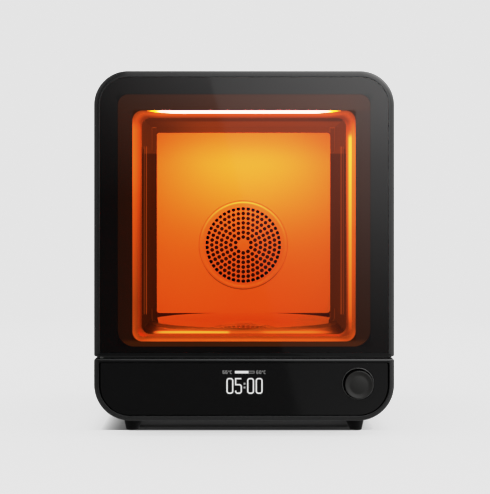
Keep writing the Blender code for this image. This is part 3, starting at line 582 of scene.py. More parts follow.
def reflector(name, rough, base, glow, lines):
    """Satin reflector sheet with painted lamp light added as emission."""
    tree = Tree(name)
    line = tree.noise(scale=70.0, detail=4.0, rough=0.6, stretch=(1, 30, 30))
    broad = tree.noise(scale=12.0, detail=3.0)
    tone = broad.scaled(0.05, 0.975) * line.scaled(0.05, 0.975)
    inputs = {"Base Color": tree.tinted(base, tone), "Metallic": 0.88,
              "Roughness": line.scaled(0.05, rough - 0.025)}
    if lines:
        inputs["Normal"] = tree.bump(line, strength=lines, distance=0.00002)
    full_share = 1.0        # how much of the glow shows
    # painted lamp light, as emission
    inputs["Emission Color"] = WHITE
    inputs["Emission Strength"] = glow(tree) * full_share * line.scaled(0.05, 0.975)
    return tree.surface(tree.add("BsdfPrincipled", inputs))


# ================================================================ painted lamp light on the chamber
def around_opening(side, top, low, top_share, low_share):
    """Joins the painted glow of the sides with that of the top and bottom runs."""
    return side * (1.0 - top_share - low_share) + (top * top_share + low * low_share)


def wall_glow(tree):
    """Painted light on the side walls: brighter above a line of sight from the camera and towards
    the front.
    """
    x, y, z = tree.xyz()
    high = ((z - EYE_Z) / (y + -EYE_Y)).step(0.0505, 0.0515)
    right = x.above(0.0)
    low_level = right.scaled(0.046, 0.044)
    high_level = right.scaled(0.068, 0.145)
    front = y.step(-0.045, -0.100) * right.scaled(0.04, 0.05)
    return high_level * high + low_level * (1.0 - high) + front


def ceiling_glow(tree):
    """Painted light on the ceiling: even, with more at the back, least of it on the left."""
    x, y, z = tree.xyz()
    back = y.step(0.000, 0.012) * 0.145
    return 0.115 + back * x.step(-0.100, -0.035, low=0.05, high=1.0)


def board_glow(tree):
    """Painted light on the light boards: brighter on the right."""
    return tree.xyz()[0].above(0.0).scaled(0.07, 0.05)


def flange_glow(tree):
    """Painted light on the flat flange round the opening: the sides brighten upward."""
    x, y, z = tree.xyz()
    left = z.step(0.22, 0.315, low=0.0135, high=0.030)
    right = z.step(0.09, 0.300, low=0.022, high=0.040)
    # position 0 to 1 runs from x = -0.125 to 0.125
    top = x.scaled(4.0, 0.5).ramp([(0.0, 0.030), (0.12, 0.035), (0.5, 0.062), (0.88, 0.068),
                                   (1.0, 0.050)])
    return around_opening(side=left * x.below(0.0) + right * x.above(0.0), top=top,
                          low=x.step(-0.1, 0.1, low=0.040, high=0.056),
                          top_share=z.step(0.2985, 0.3025), low_share=z.step(0.0875, 0.0835))


def panel_glow(tree):
    """Painted pool of lamp light on the rear panel: broad, high in the middle, steeper above its
    centre.
    """
    x, y, z = tree.xyz()
    pool_x, pool_z = 0.0075, 0.255
    height = z.above(pool_z).scaled(-0.036, 0.066)
    pool = x.bell(pool_x, 0.100) * z.bell(pool_z, height)
    return pool.scaled(2.75, 0.42)


def grille_glow(tree):
    """The panel's painted light, with a painted highlight along the top of the bead and painted
    shade at its foot.
    """
    x, y, z = tree.xyz()
    z = z - GRILLE_Z * MILLI
    radius = (x * x + z * z).sqrt()
    upward = (z / radius).at_least(0.0)
    crest = radius.bell(0.0470, 0.00085) * (upward ** 1.6).scaled(3.4, 0.15)
    foot = radius.step(0.0480, 0.0486) * 0.72
    return panel_glow(tree) * (0.86 - foot) + crest


def by_height(table, share):
    """Ramp stops from (z, level) rows; the ramp spans z = 0.1 to 0.3, levels times share."""
    return [(5.0 * z - 0.5, level * share) for z, level in table]


# Painted light on the cove by height, the streak rows a painted highlight: (z in metres, level)
COVE_LEFT_HEIGHT = [
    (.100, .40), (.120, .36), (.142, .46), (.165, .54), (.1875, .65), (.21, .82), (.222, .97),
    (.2327, 1.18), (.255, 1.42), (.284, 1.36), (.2925, 0.80)]
COVE_RIGHT_HEIGHT = [
    (.100, .40), (.120, .48), (.142, .60), (.165, .90), (.1875, 1.05), (.199, 1.4), (.21, 1.6),
    (.2327, 1.9), (.255, 2.4), (.278, 2.45), (.2925, 0.95)]
COVE_STREAK_HEIGHT = [
    (.100, .40), (.1085, 1.0), (.120, 1.35), (.142, 2.0), (.165, 2.7), (.1875, 3.6), (.210, 4.5),
    (.2327, 5.4), (.2666, 6.4), (.276, 5.8), (.2800, 1.0), (.284, 0.0)]
# Painted light across the cove's roll: (place from the front edge, 0, to the inner edge, 1; level)
COVE_LEFT_ROLL = [
    (0.0, 1.0), (0.17, 1.0), (0.27, 0.9), (0.36, 0.84), (0.45, 0.75), (0.55, 0.66), (0.64, 0.58),
    (0.73, 0.53), (0.83, 0.40), (0.92, 0.26), (1.0, 0.15)]
COVE_RIGHT_ROLL = [
    (0.0, 0.5), (0.17, 0.85), (0.26, 1.0), (0.35, 0.7), (0.44, 0.8), (0.54, 0.55), (0.72, 0.42),
    (0.91, 0.40), (1.0, 0.26)]
COVE_STREAK_ROLL = [
    (0.33, 0.0), (0.41, 0.55), (0.47, 0.90), (0.55, 1.0), (0.64, 0.94), (0.73, 0.50),
    (0.82, 0.10), (0.89, 0.0)]
COVE_TOP_ROLL = [
    (0.0, 0.10), (0.4, 0.30), (0.55, 0.28), (0.66, 0.21), (0.77, 0.15), (0.89, 0.10), (1.0, 0.05)]
COVE_LOW_ROLL = [
    (0.0, 0.22), (0.15, 0.23), (0.28, 0.18), (0.40, 0.14), (0.53, 0.10), (0.66, 0.09),
    (0.78, 0.10), (0.91, 0.13), (1.0, 0.12)]


def cove_glow(tree):
    """Painted lamp light on the cove, by side and by place across the roll."""
    x, y, z = tree.xyz()
    depth = tree.math("DIVIDE", y + -COVE_FRONT * MILLI, COVE_DEPTH * MILLI, clamp=True)
    roll = 1.0 - (1.0 - depth * depth).at_least(0.0).sqrt()
    height = z.scaled(5.0, -0.5)

    def run(heights, share, places, gain):
        return height.ramp(by_height(heights, share)) * roll.ramp(places) * gain

    left = run(COVE_LEFT_HEIGHT, 0.5, COVE_LEFT_ROLL, gain=2.2)
    # the right side also carries a painted highlight streak
    right = (run(COVE_RIGHT_HEIGHT, 0.33, COVE_RIGHT_ROLL, gain=3.03)
             + run(COVE_STREAK_HEIGHT, 0.125, COVE_STREAK_ROLL, gain=8.0))
    top = roll.ramp(COVE_TOP_ROLL) * abs(x).step(0.076, 0.096, low=4.0, high=2.1)
    low = roll.ramp(COVE_LOW_ROLL) * abs(x).step(0.082, 0.100, low=4.0, high=2.3)
    return around_opening(side=left * x.below(0.0) + right * x.above(0.0), top=top, low=low,
                          top_share=z.step(0.288, 0.2965), low_share=z.step(0.0985, 0.090))


def floor_glow(tree):
    """Painted pool of lamp light on a strip of the chamber floor right under the lamp, with a thin
    painted streak on each side.
    """
    x, y, z = tree.xyz()
    broad = (y.step(-0.0660, -0.0560) * y.step(0.035, -0.040)
             * abs(x).step(0.096, 0.060, high=0.85))
    thin = y.step(-0.0615, -0.0580) * y.step(-0.0290, -0.0380)
    left = x.step(-0.0915, -0.080) * x.step(-0.0120, -0.0175, high=3.3)
    right = x.step(0.091, 0.066) * x.step(0.013, 0.026)
    top_face = z.above(0.0865)
    return (broad + thin * (left + right)) * top_face


# ================================================================ glass, lamp and electronics
def outer_mirror(tree, geometry, ior):
    """Share of mirror reflection, from the outside only."""
    return tree.add("Fresnel", {"IOR": ior}) * (1.0 - geometry["Backfacing"])


def amber_glass():
    """Clear amber sheet: tinted see-through, mirror-like from outside, faint marks."""
    let_through = (0.92, 0.105, 0.0085)     # by the whole pane; each face takes its square root
    tree = Tree("amber_pane_look")
    haze = tree.noise(scale=30.0, detail=5.0, distortion=0.4, rough=0.6).step(0.45, 0.8)
    mirror_share = outer_mirror(tree, tree.add("NewGeometry"), ior=1.49)
    x, y, z = tree.xyz()

    def inside(side, low, high):
        return abs(x).step(*side) * (z.step(*low) * z.step(*high))

    # the coated middle mirrors less than the border
    middle = inside(side=(0.1030, 0.1012), low=(0.0866, 0.0884), high=(0.3000, 0.2980))
    window = inside(side=(0.1164, 0.1158), low=(0.0820, 0.0826), high=(0.3142, 0.3136))
    mirror_share = mirror_share * middle.scaled(-0.44, window.scaled(-0.18, 1.0))
    clear = tree.add("BsdfTransparent", {"Color": tuple(math.sqrt(c) for c in let_through)})
    mirror = tree.add("BsdfGlossy", {"Color": WHITE, "Roughness": haze.scaled(0.03, 0.012)})
    return tree.surface(tree.mix(mirror_share, clear, mirror))


def table_glass():
    """Clear glass with a faint green tint, deeper at the rim; its mirror casts no shadow."""
    tree = Tree("clear_glass_look")
    geometry = tree.add("NewGeometry")
    mirror_share = outer_mirror(tree, geometry, ior=1.5)
    rim = abs(tree.xyz(geometry["True Normal"])[2]).step(0.9, 0.3)
    tint = tree.blend(rim, (0.955, 0.975, 0.965), (0.72, 0.80, 0.77))
    clear = tree.add("BsdfTransparent", {"Color": tint})
    marks = tree.noise(scale=35, detail=4, rough=0.6)
    mirror = tree.add("BsdfGlossy", {"Color": WHITE, "Roughness": marks.scaled(0.03, 0.01)})
    mirror_share = mirror_share * (1.0 - tree.add("LightPath")["Is Shadow Ray"])
    return tree.surface(tree.mix(mirror_share, clear, mirror))


def lit_bar():
    """Opal bar: glows; brighter to the eye than what it throws into the chamber."""
    thrown, bare, through_pane = 2.0, 9.0, 750.0    # strengths
    tree = Tree("diffuser_look")
    path = tree.add("LightPath")
    fade = abs(tree.xyz()[0]).step(0.0905, 0.066, low=0.02, high=1.0)   # towards the ends
    light = tree.add("Emission", {"Color": (0.62, 0.80, 1.0), "Strength": fade * thrown})
    tint = tree.blend(fade.step(0.15, 0.75), (0.22, 0.34, 0.06), (0.08, 0.11, 1.0))
    seen_behind = tree.add("Emission", {"Color": tint, "Strength": fade * through_pane})
    seen_bare = tree.add("Emission", {"Color": (0.70, 0.82, 1.0), "Strength": fade * bare})
    behind_pane = path["Transparent Depth"].above(0.5)
    seen = tree.mix(behind_pane, seen_bare, seen_behind)
    return tree.surface(tree.mix(path["Is Camera Ray"], light, seen))


def circuit_board():
    """Green board with a fine grid of tracks."""
    tree = Tree("circuit_board_look")
    tracks = tree.add("TexBrick", {
        "Scale": 160.0, "Color1": (0.012, 0.085, 0.04), "Color2": (0.014, 0.10, 0.046),
        "Mortar": (0.03, 0.17, 0.07), "Mortar Size": 0.03, "Vector": tree.object_place()})
    return tree.surface(tree.add("BsdfPrincipled", {
        "Base Color": tracks, "Roughness": tree.noise(scale=200, detail=3).scaled(0.2, 0.28)}))


def lit_sign(name, strength):
    """Evenly lit display mark."""
    tree = Tree(name)
    return tree.surface(tree.add("Emission", {"Color": (1.0, 1.0, 0.985), "Strength": strength}))


ENAMEL_BASE = (0.085, 0.076, 0.070)

LOOKS = {
    "casing_plastic": moulded("casing_plastic_look", (0.0062, 0.0062, 0.0063), rough=0.27,
                              grain_amount=0.16, dust=0.04),
    "skirt_plastic": skirt_plastic(),
    "hub_plastic": moulded("hub_plastic_look", (0.42, 0.41, 0.40), rough=0.42, grain=2000),
    "dark_plastic": moulded("dark_plastic_look", (0.017, 0.017, 0.0175), rough=0.50, grain=2000,
                            vary=0.2, dust=0.08),
    "knob_plastic": moulded("knob_plastic_look", (0.0080, 0.0077, 0.0069), rough=0.44,
                            grain=3200, grain_amount=0.18, spec=0.30),
    "ring_plastic": moulded("ring_plastic_look", (0.055, 0.055, 0.054), rough=0.34, grain=3200,
                            grain_amount=0.1),
    "gloss_black": gloss_black(),
    "rubber": moulded("rubber_look", (0.0042, 0.0042, 0.0043), rough=0.72, grain=1500,
                      grain_amount=0.45, vary=0.3, spec=0.10),
    "steel": brushed("steel_look", (0.56, 0.55, 0.53), rough=0.34),
    "steel_z": brushed("steel_vertical_look", (0.52, 0.51, 0.49), rough=0.30, axis="Z"),
    "bronze": brushed("bronze_look", (0.55, 0.42, 0.20), rough=0.35, axis="Z", strength=0.05,
                      scale=300, squeeze=4),
    "mask_black": flat_black_for_print_and_shade(),
    "dark_steel": enamel("dark_steel_look", ENAMEL_BASE, rough=0.42),
    # the chamber looks from here to the floor carry painted lamp light as emission
    "wall_steel": matte_enamel("wall_steel_look", (0.006, 0.0055, 0.005), wall_glow,
                               sheen=0.006, open_glow=0.30),
    "light_window": matte_enamel("light_window_look", (0.005, 0.0045, 0.004), wall_glow,
                                 sheen=0.010, rough=0.25, open_glow=0.85),
    "ceiling_steel": matte_enamel("ceiling_steel_look", (0.020, 0.018, 0.017), ceiling_glow,
                                  sheen=0.02),
    "light_board": matte_enamel("light_board_look", (0.012, 0.012, 0.011), board_glow,
                                sheen=0.004, open_glow=0.30),
    "flange_steel": matte_enamel("flange_steel_look", (0.004, 0.004, 0.004), flange_glow,
                                 sheen=0.004, hue=(1, 1.75, 1, 1)),
    "panel": reflector("back_panel_look", rough=0.42, base=(0.82, 0.80, 0.77), glow=panel_glow,
                       lines=0.04),
    "lip": reflector("lip_look", rough=0.26, base=(0.17, 0.165, 0.16), glow=cove_glow, lines=0.0),
    "grille": reflector("grille_look", rough=0.40, base=(0.62, 0.60, 0.58), glow=grille_glow,
                        lines=0.02),
    "floor_steel": enamel("floor_steel_look", ENAMEL_BASE, rough=0.30, glow=floor_glow),
    "amber_pane": amber_glass(),
    "clear_glass": table_glass(),
    "diffuser": lit_bar(),
    "circuit_board": circuit_board(),
    "digit": lit_sign("digit_look", strength=0.92),
    "digit_dim": lit_sign("digit_dim_look", strength=0.27),
    "digit_dot": lit_sign("digit_dot_look", strength=0.42),
}


# ================================================================ casing
def screw_bosses(z):
    """A boss and its screw hole on each side, inside the rear of the casing."""
    bosses, holes = [], []
    for side in SIDES:
        x0, x1 = sorted((side * 121.0, side * 135.5))
        bosses.append(box(x0, 128, z - 7, x1, 141.7, z + 7))
        holes.append(rod((side * SCREW_X, z), 1.9, 126, 150, "Y", 24))
    return bosses, holes


def casing_sleeve():
    """Wrap-around casing: one bent shell with rolled front and rear edges."""
    def arch(inset):
        x, top, radius = HALF - inset, TOP - inset, TOP_RADIUS - inset
        right = [(x, z) for z in (SPLIT_HIGH, 130, 190, 250)]
        for i in range(29):
            angle = math.radians(90 * i / 28)
            right.append((x - radius + radius * math.cos(angle),
                          top - radius + radius * math.sin(angle)))
        return right + [(-x, z) for x, z in reversed(right)]

    # (inset, y) round the wall; the fillet needs a lead-in and lead-out point, dropped after it
    section = fillet([(0.0, 0.0), (0.0, CASE_FRONT), (WALL, CASE_FRONT), (WALL, CASE_REAR),
                      (0.0, CASE_REAR), (0.0, 0.0)], {1: 1.1, 2: 0.5, 3: 0.5, 4: 1.1}, 5)
    section = section[1:-1] + [(0.0, 60.0), (0.0, 0.0), (0.0, -60.0)]
    build = bmesh.new()
    loops = new_loops(build, [at_depth(arch(inset), y) for inset, y in section])
    bridge(build, loops, joined=True, wrap=False)
    build.faces.new([loop[0] for loop in loops])
    build.faces.new([loop[-1] for loop in reversed(loops)])
    bmesh.ops.recalc_face_normals(build, faces=build.faces)
    sleeve = as_object("casing_sleeve", build)
    bosses, holes = screw_bosses(SCREW_HIGH)
    sleeve = cut(add(sleeve, *bosses), *holes)
    piece(sleeve, "cabinet", "casing_plastic", "upper_casing")


def crown(width, radius=7.0, edge=0.8, steps=12):
    """Section of a rim's front: (inset, depth behind the front), outer side to inner side."""
    top = math.asin(min(0.999, (width - 0.23) / radius))
    points = []
    for i in range(5):
        angle = math.radians(90) - (math.radians(90) - top) * i / 4
        points.append((edge * (1 - math.sin(angle)),
                       radius * (1 - math.cos(top)) + edge * (math.cos(top) - math.cos(angle))))
    start = points[-1][0]
    for i in range(1, steps + 1):
        angle = top * (1 - i / steps)
        points.append((start + radius * (math.sin(top) - math.sin(angle)),
                       radius * (1 - math.cos(angle))))
    return points


def roll_in(depth, radius):
    """Inset of a flush side at this depth: a small roll at the edge, flat after it."""
    rest = (radius - min(depth, radius)) / radius
    return radius * (1 - math.sqrt(max(0.0, 1 - rest ** 2)))


def base_tray():
    """Lower tray with a rounded front rim round the fascia."""
    rim = crown(4.2)
    # (side and bottom inset, top inset, y)
    rows = [(1.2, 1.2, CASE_REAR), (0.35, 0.35, CASE_REAR - 0.35), (0.0, 0.0, CASE_REAR - 1.2),
            (0.0, 0.0, 60), (0.0, 0.0, 0), (0.0, 0.0, -60), (0.0, 0.0, FRONT + rim[0][1] + 0.01)]
    rows += [(inset, roll_in(depth, 1.7), FRONT + depth) for inset, depth in rim[1:]]
    rows += [(4.4, 3.4, FRONT + 0.03), (4.4, 3.4, FRONT + 1.5)]
    tray = skin("base_tray", [
        at_depth(outline(HALF - side, BASE_Z + side, SPLIT_LOW - top, BASE_RADIUS - side,
                         max(1.9 - top, 0.25), seg=28), y) for side, top, y in rows])
    hollow = outline(HALF - WALL, BASE_Z + WALL, SPLIT_LOW - WALL, BASE_RADIUS - WALL, 0)
    tray = cut(tray, plate([outline(133.1, 19.2, 68.2, 28.6, 1.8)], -150, -141.2),  # fascia seat
               plate([hollow], -138, 149),
               box(-HALF + WALL, -118.6, 60, HALF - WALL, 149, 76),                 # open top
               box(-26, -143, 35, 26, -136, 65),                                    # display
               rod((KNOB_X, KNOB_Z), 15.1, -143, -136, "Y", 64))
    # skirt between the feet; with its look it stands in for the shaded floor under the cabinet
    skirt = plate([outline(106.0, -92.5, 92.5, 10.0, seg=12),
                   outline(103.5, -90.0, 90.0, 7.5, seg=12)], 0.6, 16.4, "Z")
    skirt = softened(skirt, 0.5)
    bosses, screw_holes = screw_bosses(SCREW_LOW)
    bosses.insert(0, rod((HINGE_X, HINGE_Y), 5.0, 57, 70.5, "Z", 32))
    holes = [rod((HINGE_X, HINGE_Y), 2.3, 58.5, 76, "Z", 24)]
    for side, screw_hole in zip(SIDES, screw_holes):
        holes.append(screw_hole)
        holes += [rod((side * FOOT_X, end * FOOT_Y), 4.4, 10, 24, "Z", 24) for end in SIDES]
    holes += [plate([rrect(-45 + 18 * i, 30, -40 + 18 * i, 82, 2.4, seg=6)], 10, 24, "Z")
              for i in range(6)]
    tray = cut(add(tray, skirt, *bosses), *holes)

    def gloss_strip(at, normal):
        return normal.y < -0.93 and at.y < -141 and at.z > SPLIT_LOW - 3.6

    # flat unlit black on the ledge under the door: painted shade in the gap
    def ledge_under_door(at, normal):
        return normal.z > 0.9 and at.z > SPLIT_LOW - 0.2 and at.y < -116

    # flat unlit black on the fascia seat's walls and floor: painted shade in the groove round the
    # fascia
    def fascia_seat(at, normal):
        inward = abs(normal.y) < 0.3 and at.x * normal.x + (at.z - 45) * normal.z < 0
        floor = at.y > -142 and normal.y < -0.9
        return -144.49 < at.y < -141.1 and 18 < at.z < 68.5 and (inward or floor)

    piece(tray, "cabinet", "casing_plastic", "base_housing", angle=28,
          second=[("gloss_black", gloss_strip), ("mask_black", ledge_under_door),
                  ("mask_black", fascia_seat), ("skirt_plastic", lambda at, normal: at.z < 14.2)])


def back_cover():
    """Hollow rear cover with screw wells, an inlet recess and slots."""
    def cover_outline(inset):
        return outline(136.2 - inset, 16.1 + inset, 333.7 - inset, 31.7 - inset, 29.7 - inset)

    roll = 2.2
    rings = [(0.0, 148.3), (0.0, REAR - roll)]
    for i in range(1, 9):
        angle = math.radians(90 * i / 8)
        rings.append((roll * (1 - math.cos(angle)), REAR - roll + roll * math.sin(angle)))
    cover = skin("back_cover", [at_depth(cover_outline(inset), y) for inset, y in rings])
    cover = add(cover, plate([cover_outline(2.1)], 142.3, 149.5))
    cover = cut(cover, plate([cover_outline(4.2)], 141.0, 151.0))
    adds, cuts = [], []
    for place in COVER_SCREWS:
        adds.append(rod(place, 6.2, 142.5, 152.0, "Y", 40))
        cuts += [rod(place, 3.6, 150.9, 156, "Y"), rod(place, 1.9, 140, 153, "Y", 32),
                 rod(place, 3.55, 153.05, 153.75, "Y", end_radius=4.25)]
    adds.append(box(-122.9, 147.5, 26, -62, 152, 64))
    cover = add(cover, *adds)
    cuts += [plate([rrect(-121.6, 28.4, -64.4, 61.6, 2.6, seg=8)], 150.5, 156),
             box(-118.5, 140, 31.0, -67.5, 156, 59.0)]
    slots = [(COOLING_X - 18.0 + 8 * i, COOLING_Z - 19, COOLING_Z + 19) for i in range(5)]
    slots += [(-38.0 + 12 * i, 146, 195) for i in range(7)]
    cuts += [plate([rrect(x, z0, x + 4.0, z1, 2.0, seg=8)], 140, 156) for x, z0, z1 in slots]
    cuts.append(plate([outline(104, 122, 219, 12, seg=16)], 153.0, 156))    # shallow field
    cover = softened(cut(cover, *cuts), 0.28, angle=50)
    piece(cover, "cabinet", "dark_plastic", "rear_cover", angle=30, flat=True)


# Section of a foot: (radius, height)
FOOT_SECTION = [(4.1, 0.0), (5.0, 0.08), (5.5, 0.35), (5.75, 0.9), (6.2, 2.2), (7.9, 7.2),
                (9.2, 12.4), (9.6, 13.7), (9.7, 14.05), (9.5, 14.35), (9.0, 14.4)]


def foot(place, side, end):
    """Tapered foot, one side near upright, rolled lower edge, stem into the base."""
    rings = []
    for radius, z in FOOT_SECTION:
        x = side * (105.9 - 1.6 * z / 14.4)
        rings.append([(x, y, z) for x, y in circle(x, end * FOOT_Y, radius, 56)])
    shape = add(skin("rubber_foot_" + place, rings),
                rod((side * FOOT_X, end * FOOT_Y), 4.0, 13.0, 19.5, "Z", 32))
    piece(shape, "cabinet", "rubber", "foot_" + place)


def cover_screw(number, x, z):
    """Cross-head screw facing the rear."""
    profile = [(0, 16.2), (1.6, 16.2), (2.4, 16.05), (2.95, 15.7), (3.2, 15.2), (3.2, 14.5),
               (1.5, 14.5), (1.5, 0.6), (0.9, 0), (0, 0)]
    screw = turned(f"rear_screw_{number}", profile, (x, 136.9, z), "REAR", 48)
    screw = cut(screw, box(x - 0.32, 151.9, z - 1.5, x + 0.32, 156, z + 1.5),
                box(x - 1.5, 151.9, z - 0.32, x + 1.5, 156, z + 0.32))
    piece(screw, "cabinet", "steel", f"cover_screw_{number}")


# ================================================================ door
def leaf_slot():
    """Cutter for the slot the upper hinge leaf sits in."""
    return box(-141, -134.6, LEAF_LOW - 1.1, -124.9, -117, LEAF_HIGH + 1.1)


def door_moulding():
    """Crowned rim round the pane; flush and square-edged along the bottom."""
    side_width, top_width, low_width = 5.3, 5.6, 3.5
    rim = crown(side_width - 0.35)
    # (side inset, top inset, bottom inset, y)
    rows = [(side_width, top_width, low_width, DOOR_REAR), (0.4, 0.4, 0.3, DOOR_REAR),
            (0.12, 0.12, 0.1, DOOR_REAR - 0.1), (0.0, 0.0, 0.0, DOOR_REAR - 0.45),
            (0.0, 0.0, 0.0, -131.0), (0.0, 0.0, 0.0, FRONT + rim[0][1] + 0.01)]
    rows += [(inset, inset * top_width / side_width, roll_in(depth, 0.7), FRONT + depth)
             for inset, depth in rim[1:]]
    rows += [(side_width, top_width, low_width, y) for y in (FRONT + 0.03, -134.0)]
    rings = [at_depth(outline(HALF - side, SPLIT_HIGH + low, TOP - top, 1.8 + 0.04 * side,
                              TOP_RADIUS - side * 1.02, seg=28), y) for side, top, low, y in rows]
    door = skin("door_moulding", rings, "joined")
    # hinge blocks, then the left rear edge rounded about the hinge axis
    door = add(door, box(-136.9, -136, 284, -125.4, -123.4, 304),
               box(-136.9, -136, 74.6, -125.4, -123.4, 87))
    edge = []
    for i in range(17):
        angle = math.radians(90 + 90 * i / 16)
        edge.append((HINGE_X + HINGE_RADIUS * math.cos(angle),
                     HINGE_Y + HINGE_RADIUS * math.sin(angle)))
    edge += [(HINGE_X - 11, HINGE_Y), (HINGE_X - 11, HINGE_Y + 11), (HINGE_X, HINGE_Y + 11)]
    door = cut(door, plate([edge], 60, 345, "Z"), leaf_slot(),
               rod((HINGE_X, HINGE_Y), 2.3, 280, 310, "Z", 32),
               rod((HINGE_X, HINGE_Y), 2.3, 70, 92, "Z", 32))
    piece(door, "door", "casing_plastic", "door_frame", angle=30,
          second=[("gloss_black", lambda at, normal: at.y < -136 and at.z < SPLIT_HIGH + 3.9)])


def window_pane():
    pane = plate([outline(132.1, 77.05, 329.3, 1.8, 25.5)], -144.3, -140.3, name="window_pane")
    piece(softened(pane, 0.12), "door", "amber_pane", "door_pane")


def window_mask():
    """Printed border behind the pane."""
    mask = plate([outline(132.0, 77.1, 329.2, 1.7, 25.4), outline(116.0, 82.3, 313.9, 15.0, 9.5)],
                 -140.0, -139.2, name="window_mask")
    piece(mask, "door", "gloss_black", "door_mask", look="mask_black")


def inner_liner():
    """Sheet on the door's rear with a rolled tunnel round the window."""
    def window(grow):
        return outline(118.0 + grow, 80.4 - grow, 315.8 + grow, 16.5 + grow, 11.0 + grow, 20)

    liner = plate([outline(131.9, 77.2, 329.1, 1.7, 25.3), window(0.8)], -123.0, -120.4,
                  name="inner_liner")
    # (growth of the window, y)
    section = [(0.0, -138.9), (2.0, -138.9), (2.0, -122.2), (1.2, -120.95), (0.6, -120.55),
               (0.2, -120.9), (0.0, -121.6)]
    liner = add(liner, skin("tunnel", [at_depth(window(grow), y) for grow, y in section],
                            "joined"))
    # hinge slot, and a pocket at the right edge
    liner = cut(liner, leaf_slot(), box(124.2, -126, 189.9, 130.4, -117, 216.1))
    piece(liner, "door", "dark_plastic", "door_liner")


def gasket():
    """Half-round seal on the door's rear."""
    def seal_outline(across):
        """across goes from 0 at the outer side to 1 at the inner side."""
        return outline(122.4 - 3.0 * across, 77.6 + 2.6 * across, 320.2 - 3.0 * across,
                       18.5 - 2.5 * across, 14.5 - 3.0 * across, 20)

    foot_y, spring_y = -120.1, -119.4
    section = [(0.0, foot_y), (0.0, spring_y)]
    for i in range(1, 10):
        angle = math.radians(180 * i / 10)
        section.append((0.5 - 0.5 * math.cos(angle), spring_y + 1.0 * math.sin(angle)))
    section += [(1.0, spring_y), (1.0, foot_y)]
    seal = skin("door_gasket", [at_depth(seal_outline(across), y) for across, y in section],
                "joined")
    piece(seal, "door", "rubber", "door_seal")


# ================================================================ controls
def front_panel():
    """Fascia with a round hole for the knob ring."""
    panel = plate([outline(131.3, 20.3, 67.7, 26.8, 1.4), circle(KNOB_X, KNOB_Z, 14.95, 96)],
                  FRONT, -141.5, name="front_panel")
    piece(softened(panel, 0.3), "cabinet", "gloss_black", "control_fascia")


def knob_ring():
    """Ring round the knob: dark cup with a paler front edge."""
    profile = [(14.2, 6.0), (14.35, 5.93), (14.5, 5.7), (14.55, 5.4), (14.8, 5.0), (14.8, 0.0),
               (4.0, 0.0), (4.0, 1.0), (13.9, 1.0), (13.9, 5.5), (13.95, 5.8), (14.05, 5.95)]
    ring = turned("knob_ring", profile, (KNOB_X, -139.0, KNOB_Z), "FRONT", 128, closed=True)
    axis = Vector((KNOB_X, 0, KNOB_Z))

    def front_edge(at, normal):
        return at.y < -144.4 and (Vector((at.x, 0, at.z)) - axis).length > 13.6

    # the ring takes flat unlit black, a painted shade in its cup round the knob; only its front
    # edge is plastic
    piece(ring, "cabinet", "dark_plastic", "knob_bezel", look="mask_black",
          second=[("ring_plastic", front_edge)])


# Dished face and side of the knob: (radius, depth behind the tip)
KNOB_FACE = [(0, 0.24), (2.0, 0.27), (4.0, 0.36), (5.6, 0.49), (7.0, 0.65), (7.9, 0.77),
             (8.4, 0.80), (8.9, 0.77), (9.6, 0.66), (10.4, 0.47), (11.2, 0.27), (11.8, 0.11),
             (12.15, 0.02), (12.45, 0.06), (12.7, 0.30), (12.82, 0.8), (12.9, 2.0)]


def knob():
    seat = -142.5
    height = seat - KNOB_TIP
    profile = [(radius, height - depth) for radius, depth in KNOB_FACE]
    profile += [(12.9, 0.5), (12.8, 0.15), (12.6, 0.0), (3.3, 0.0), (3.3, height - 3.2),
                (0, height - 3.2)]
    dial = turned("control_dial", profile, (KNOB_X, seat, KNOB_Z), "FRONT", 144)
    # sides and rear in flat unlit black: painted shade in the gap round the knob
    piece(dial, "knob", "dark_plastic", "control_knob", look="knob_plastic", angle=40,
          second=[("mask_black", lambda at, normal: normal.y > -0.35)])


# ---------------------------------------------------------------- display
# A stroke is (points, width, closed). All places are on the fascia, in mm.
LIT_FRONT, LIT_BACK = FRONT - 0.08, FRONT + 0.08
TIME_LOW, TIME_HIGH = 39.5651, 54.0142
TIME_DIGITS = [("0", -16.1867, -9.8309), ("5", -8.3220, -2.0119),   # digit, left x, right x
               ("0", 2.7435, 9.0993), ("0", 10.5625, 16.9183)]
COLON_X, COLON_Z, COLON_SIZE = 0.3658, (48.8016, 45.3265), 1.6
LABEL_LOW, LABEL_HIGH = 57.7637, 60.8730
LABELS = [("55", -19.6618), ("60", 11.1569)]                        # figures, left x
BAR_LOW, BAR_HIGH = 58.2209, 60.5072
BAR_LIT, BAR_REST = (-8.4134, 4.0238), (4.3896, 9.4194)             # from x, to x


def stroke_sides(points, width, closed):
    """Left and right sides of a polyline of constant width."""
    count = len(points)
    left, right = [], []
    for i, point in enumerate(points):
        before = Vector(points[(i - 1) % count] if (closed or i) else point)
        after = Vector(points[(i + 1) % count] if (closed or i < count - 1) else point)
        point = Vector(point)
        arrive, leave = point - before, after - point
        arrive = arrive.normalized() if arrive.length > 1e-6 else leave.normalized()
        leave = leave.normalized() if leave.length > 1e-6 else arrive
        mean = (arrive + leave).normalized()
        normal = Vector((-mean.y, mean.x))
        mitre = 1 / max(0.5, normal.dot(Vector((-arrive.y, arrive.x))))
        left.append(point + normal * width / 2 * mitre)
        right.append(point - normal * width / 2 * mitre)
    return left, right


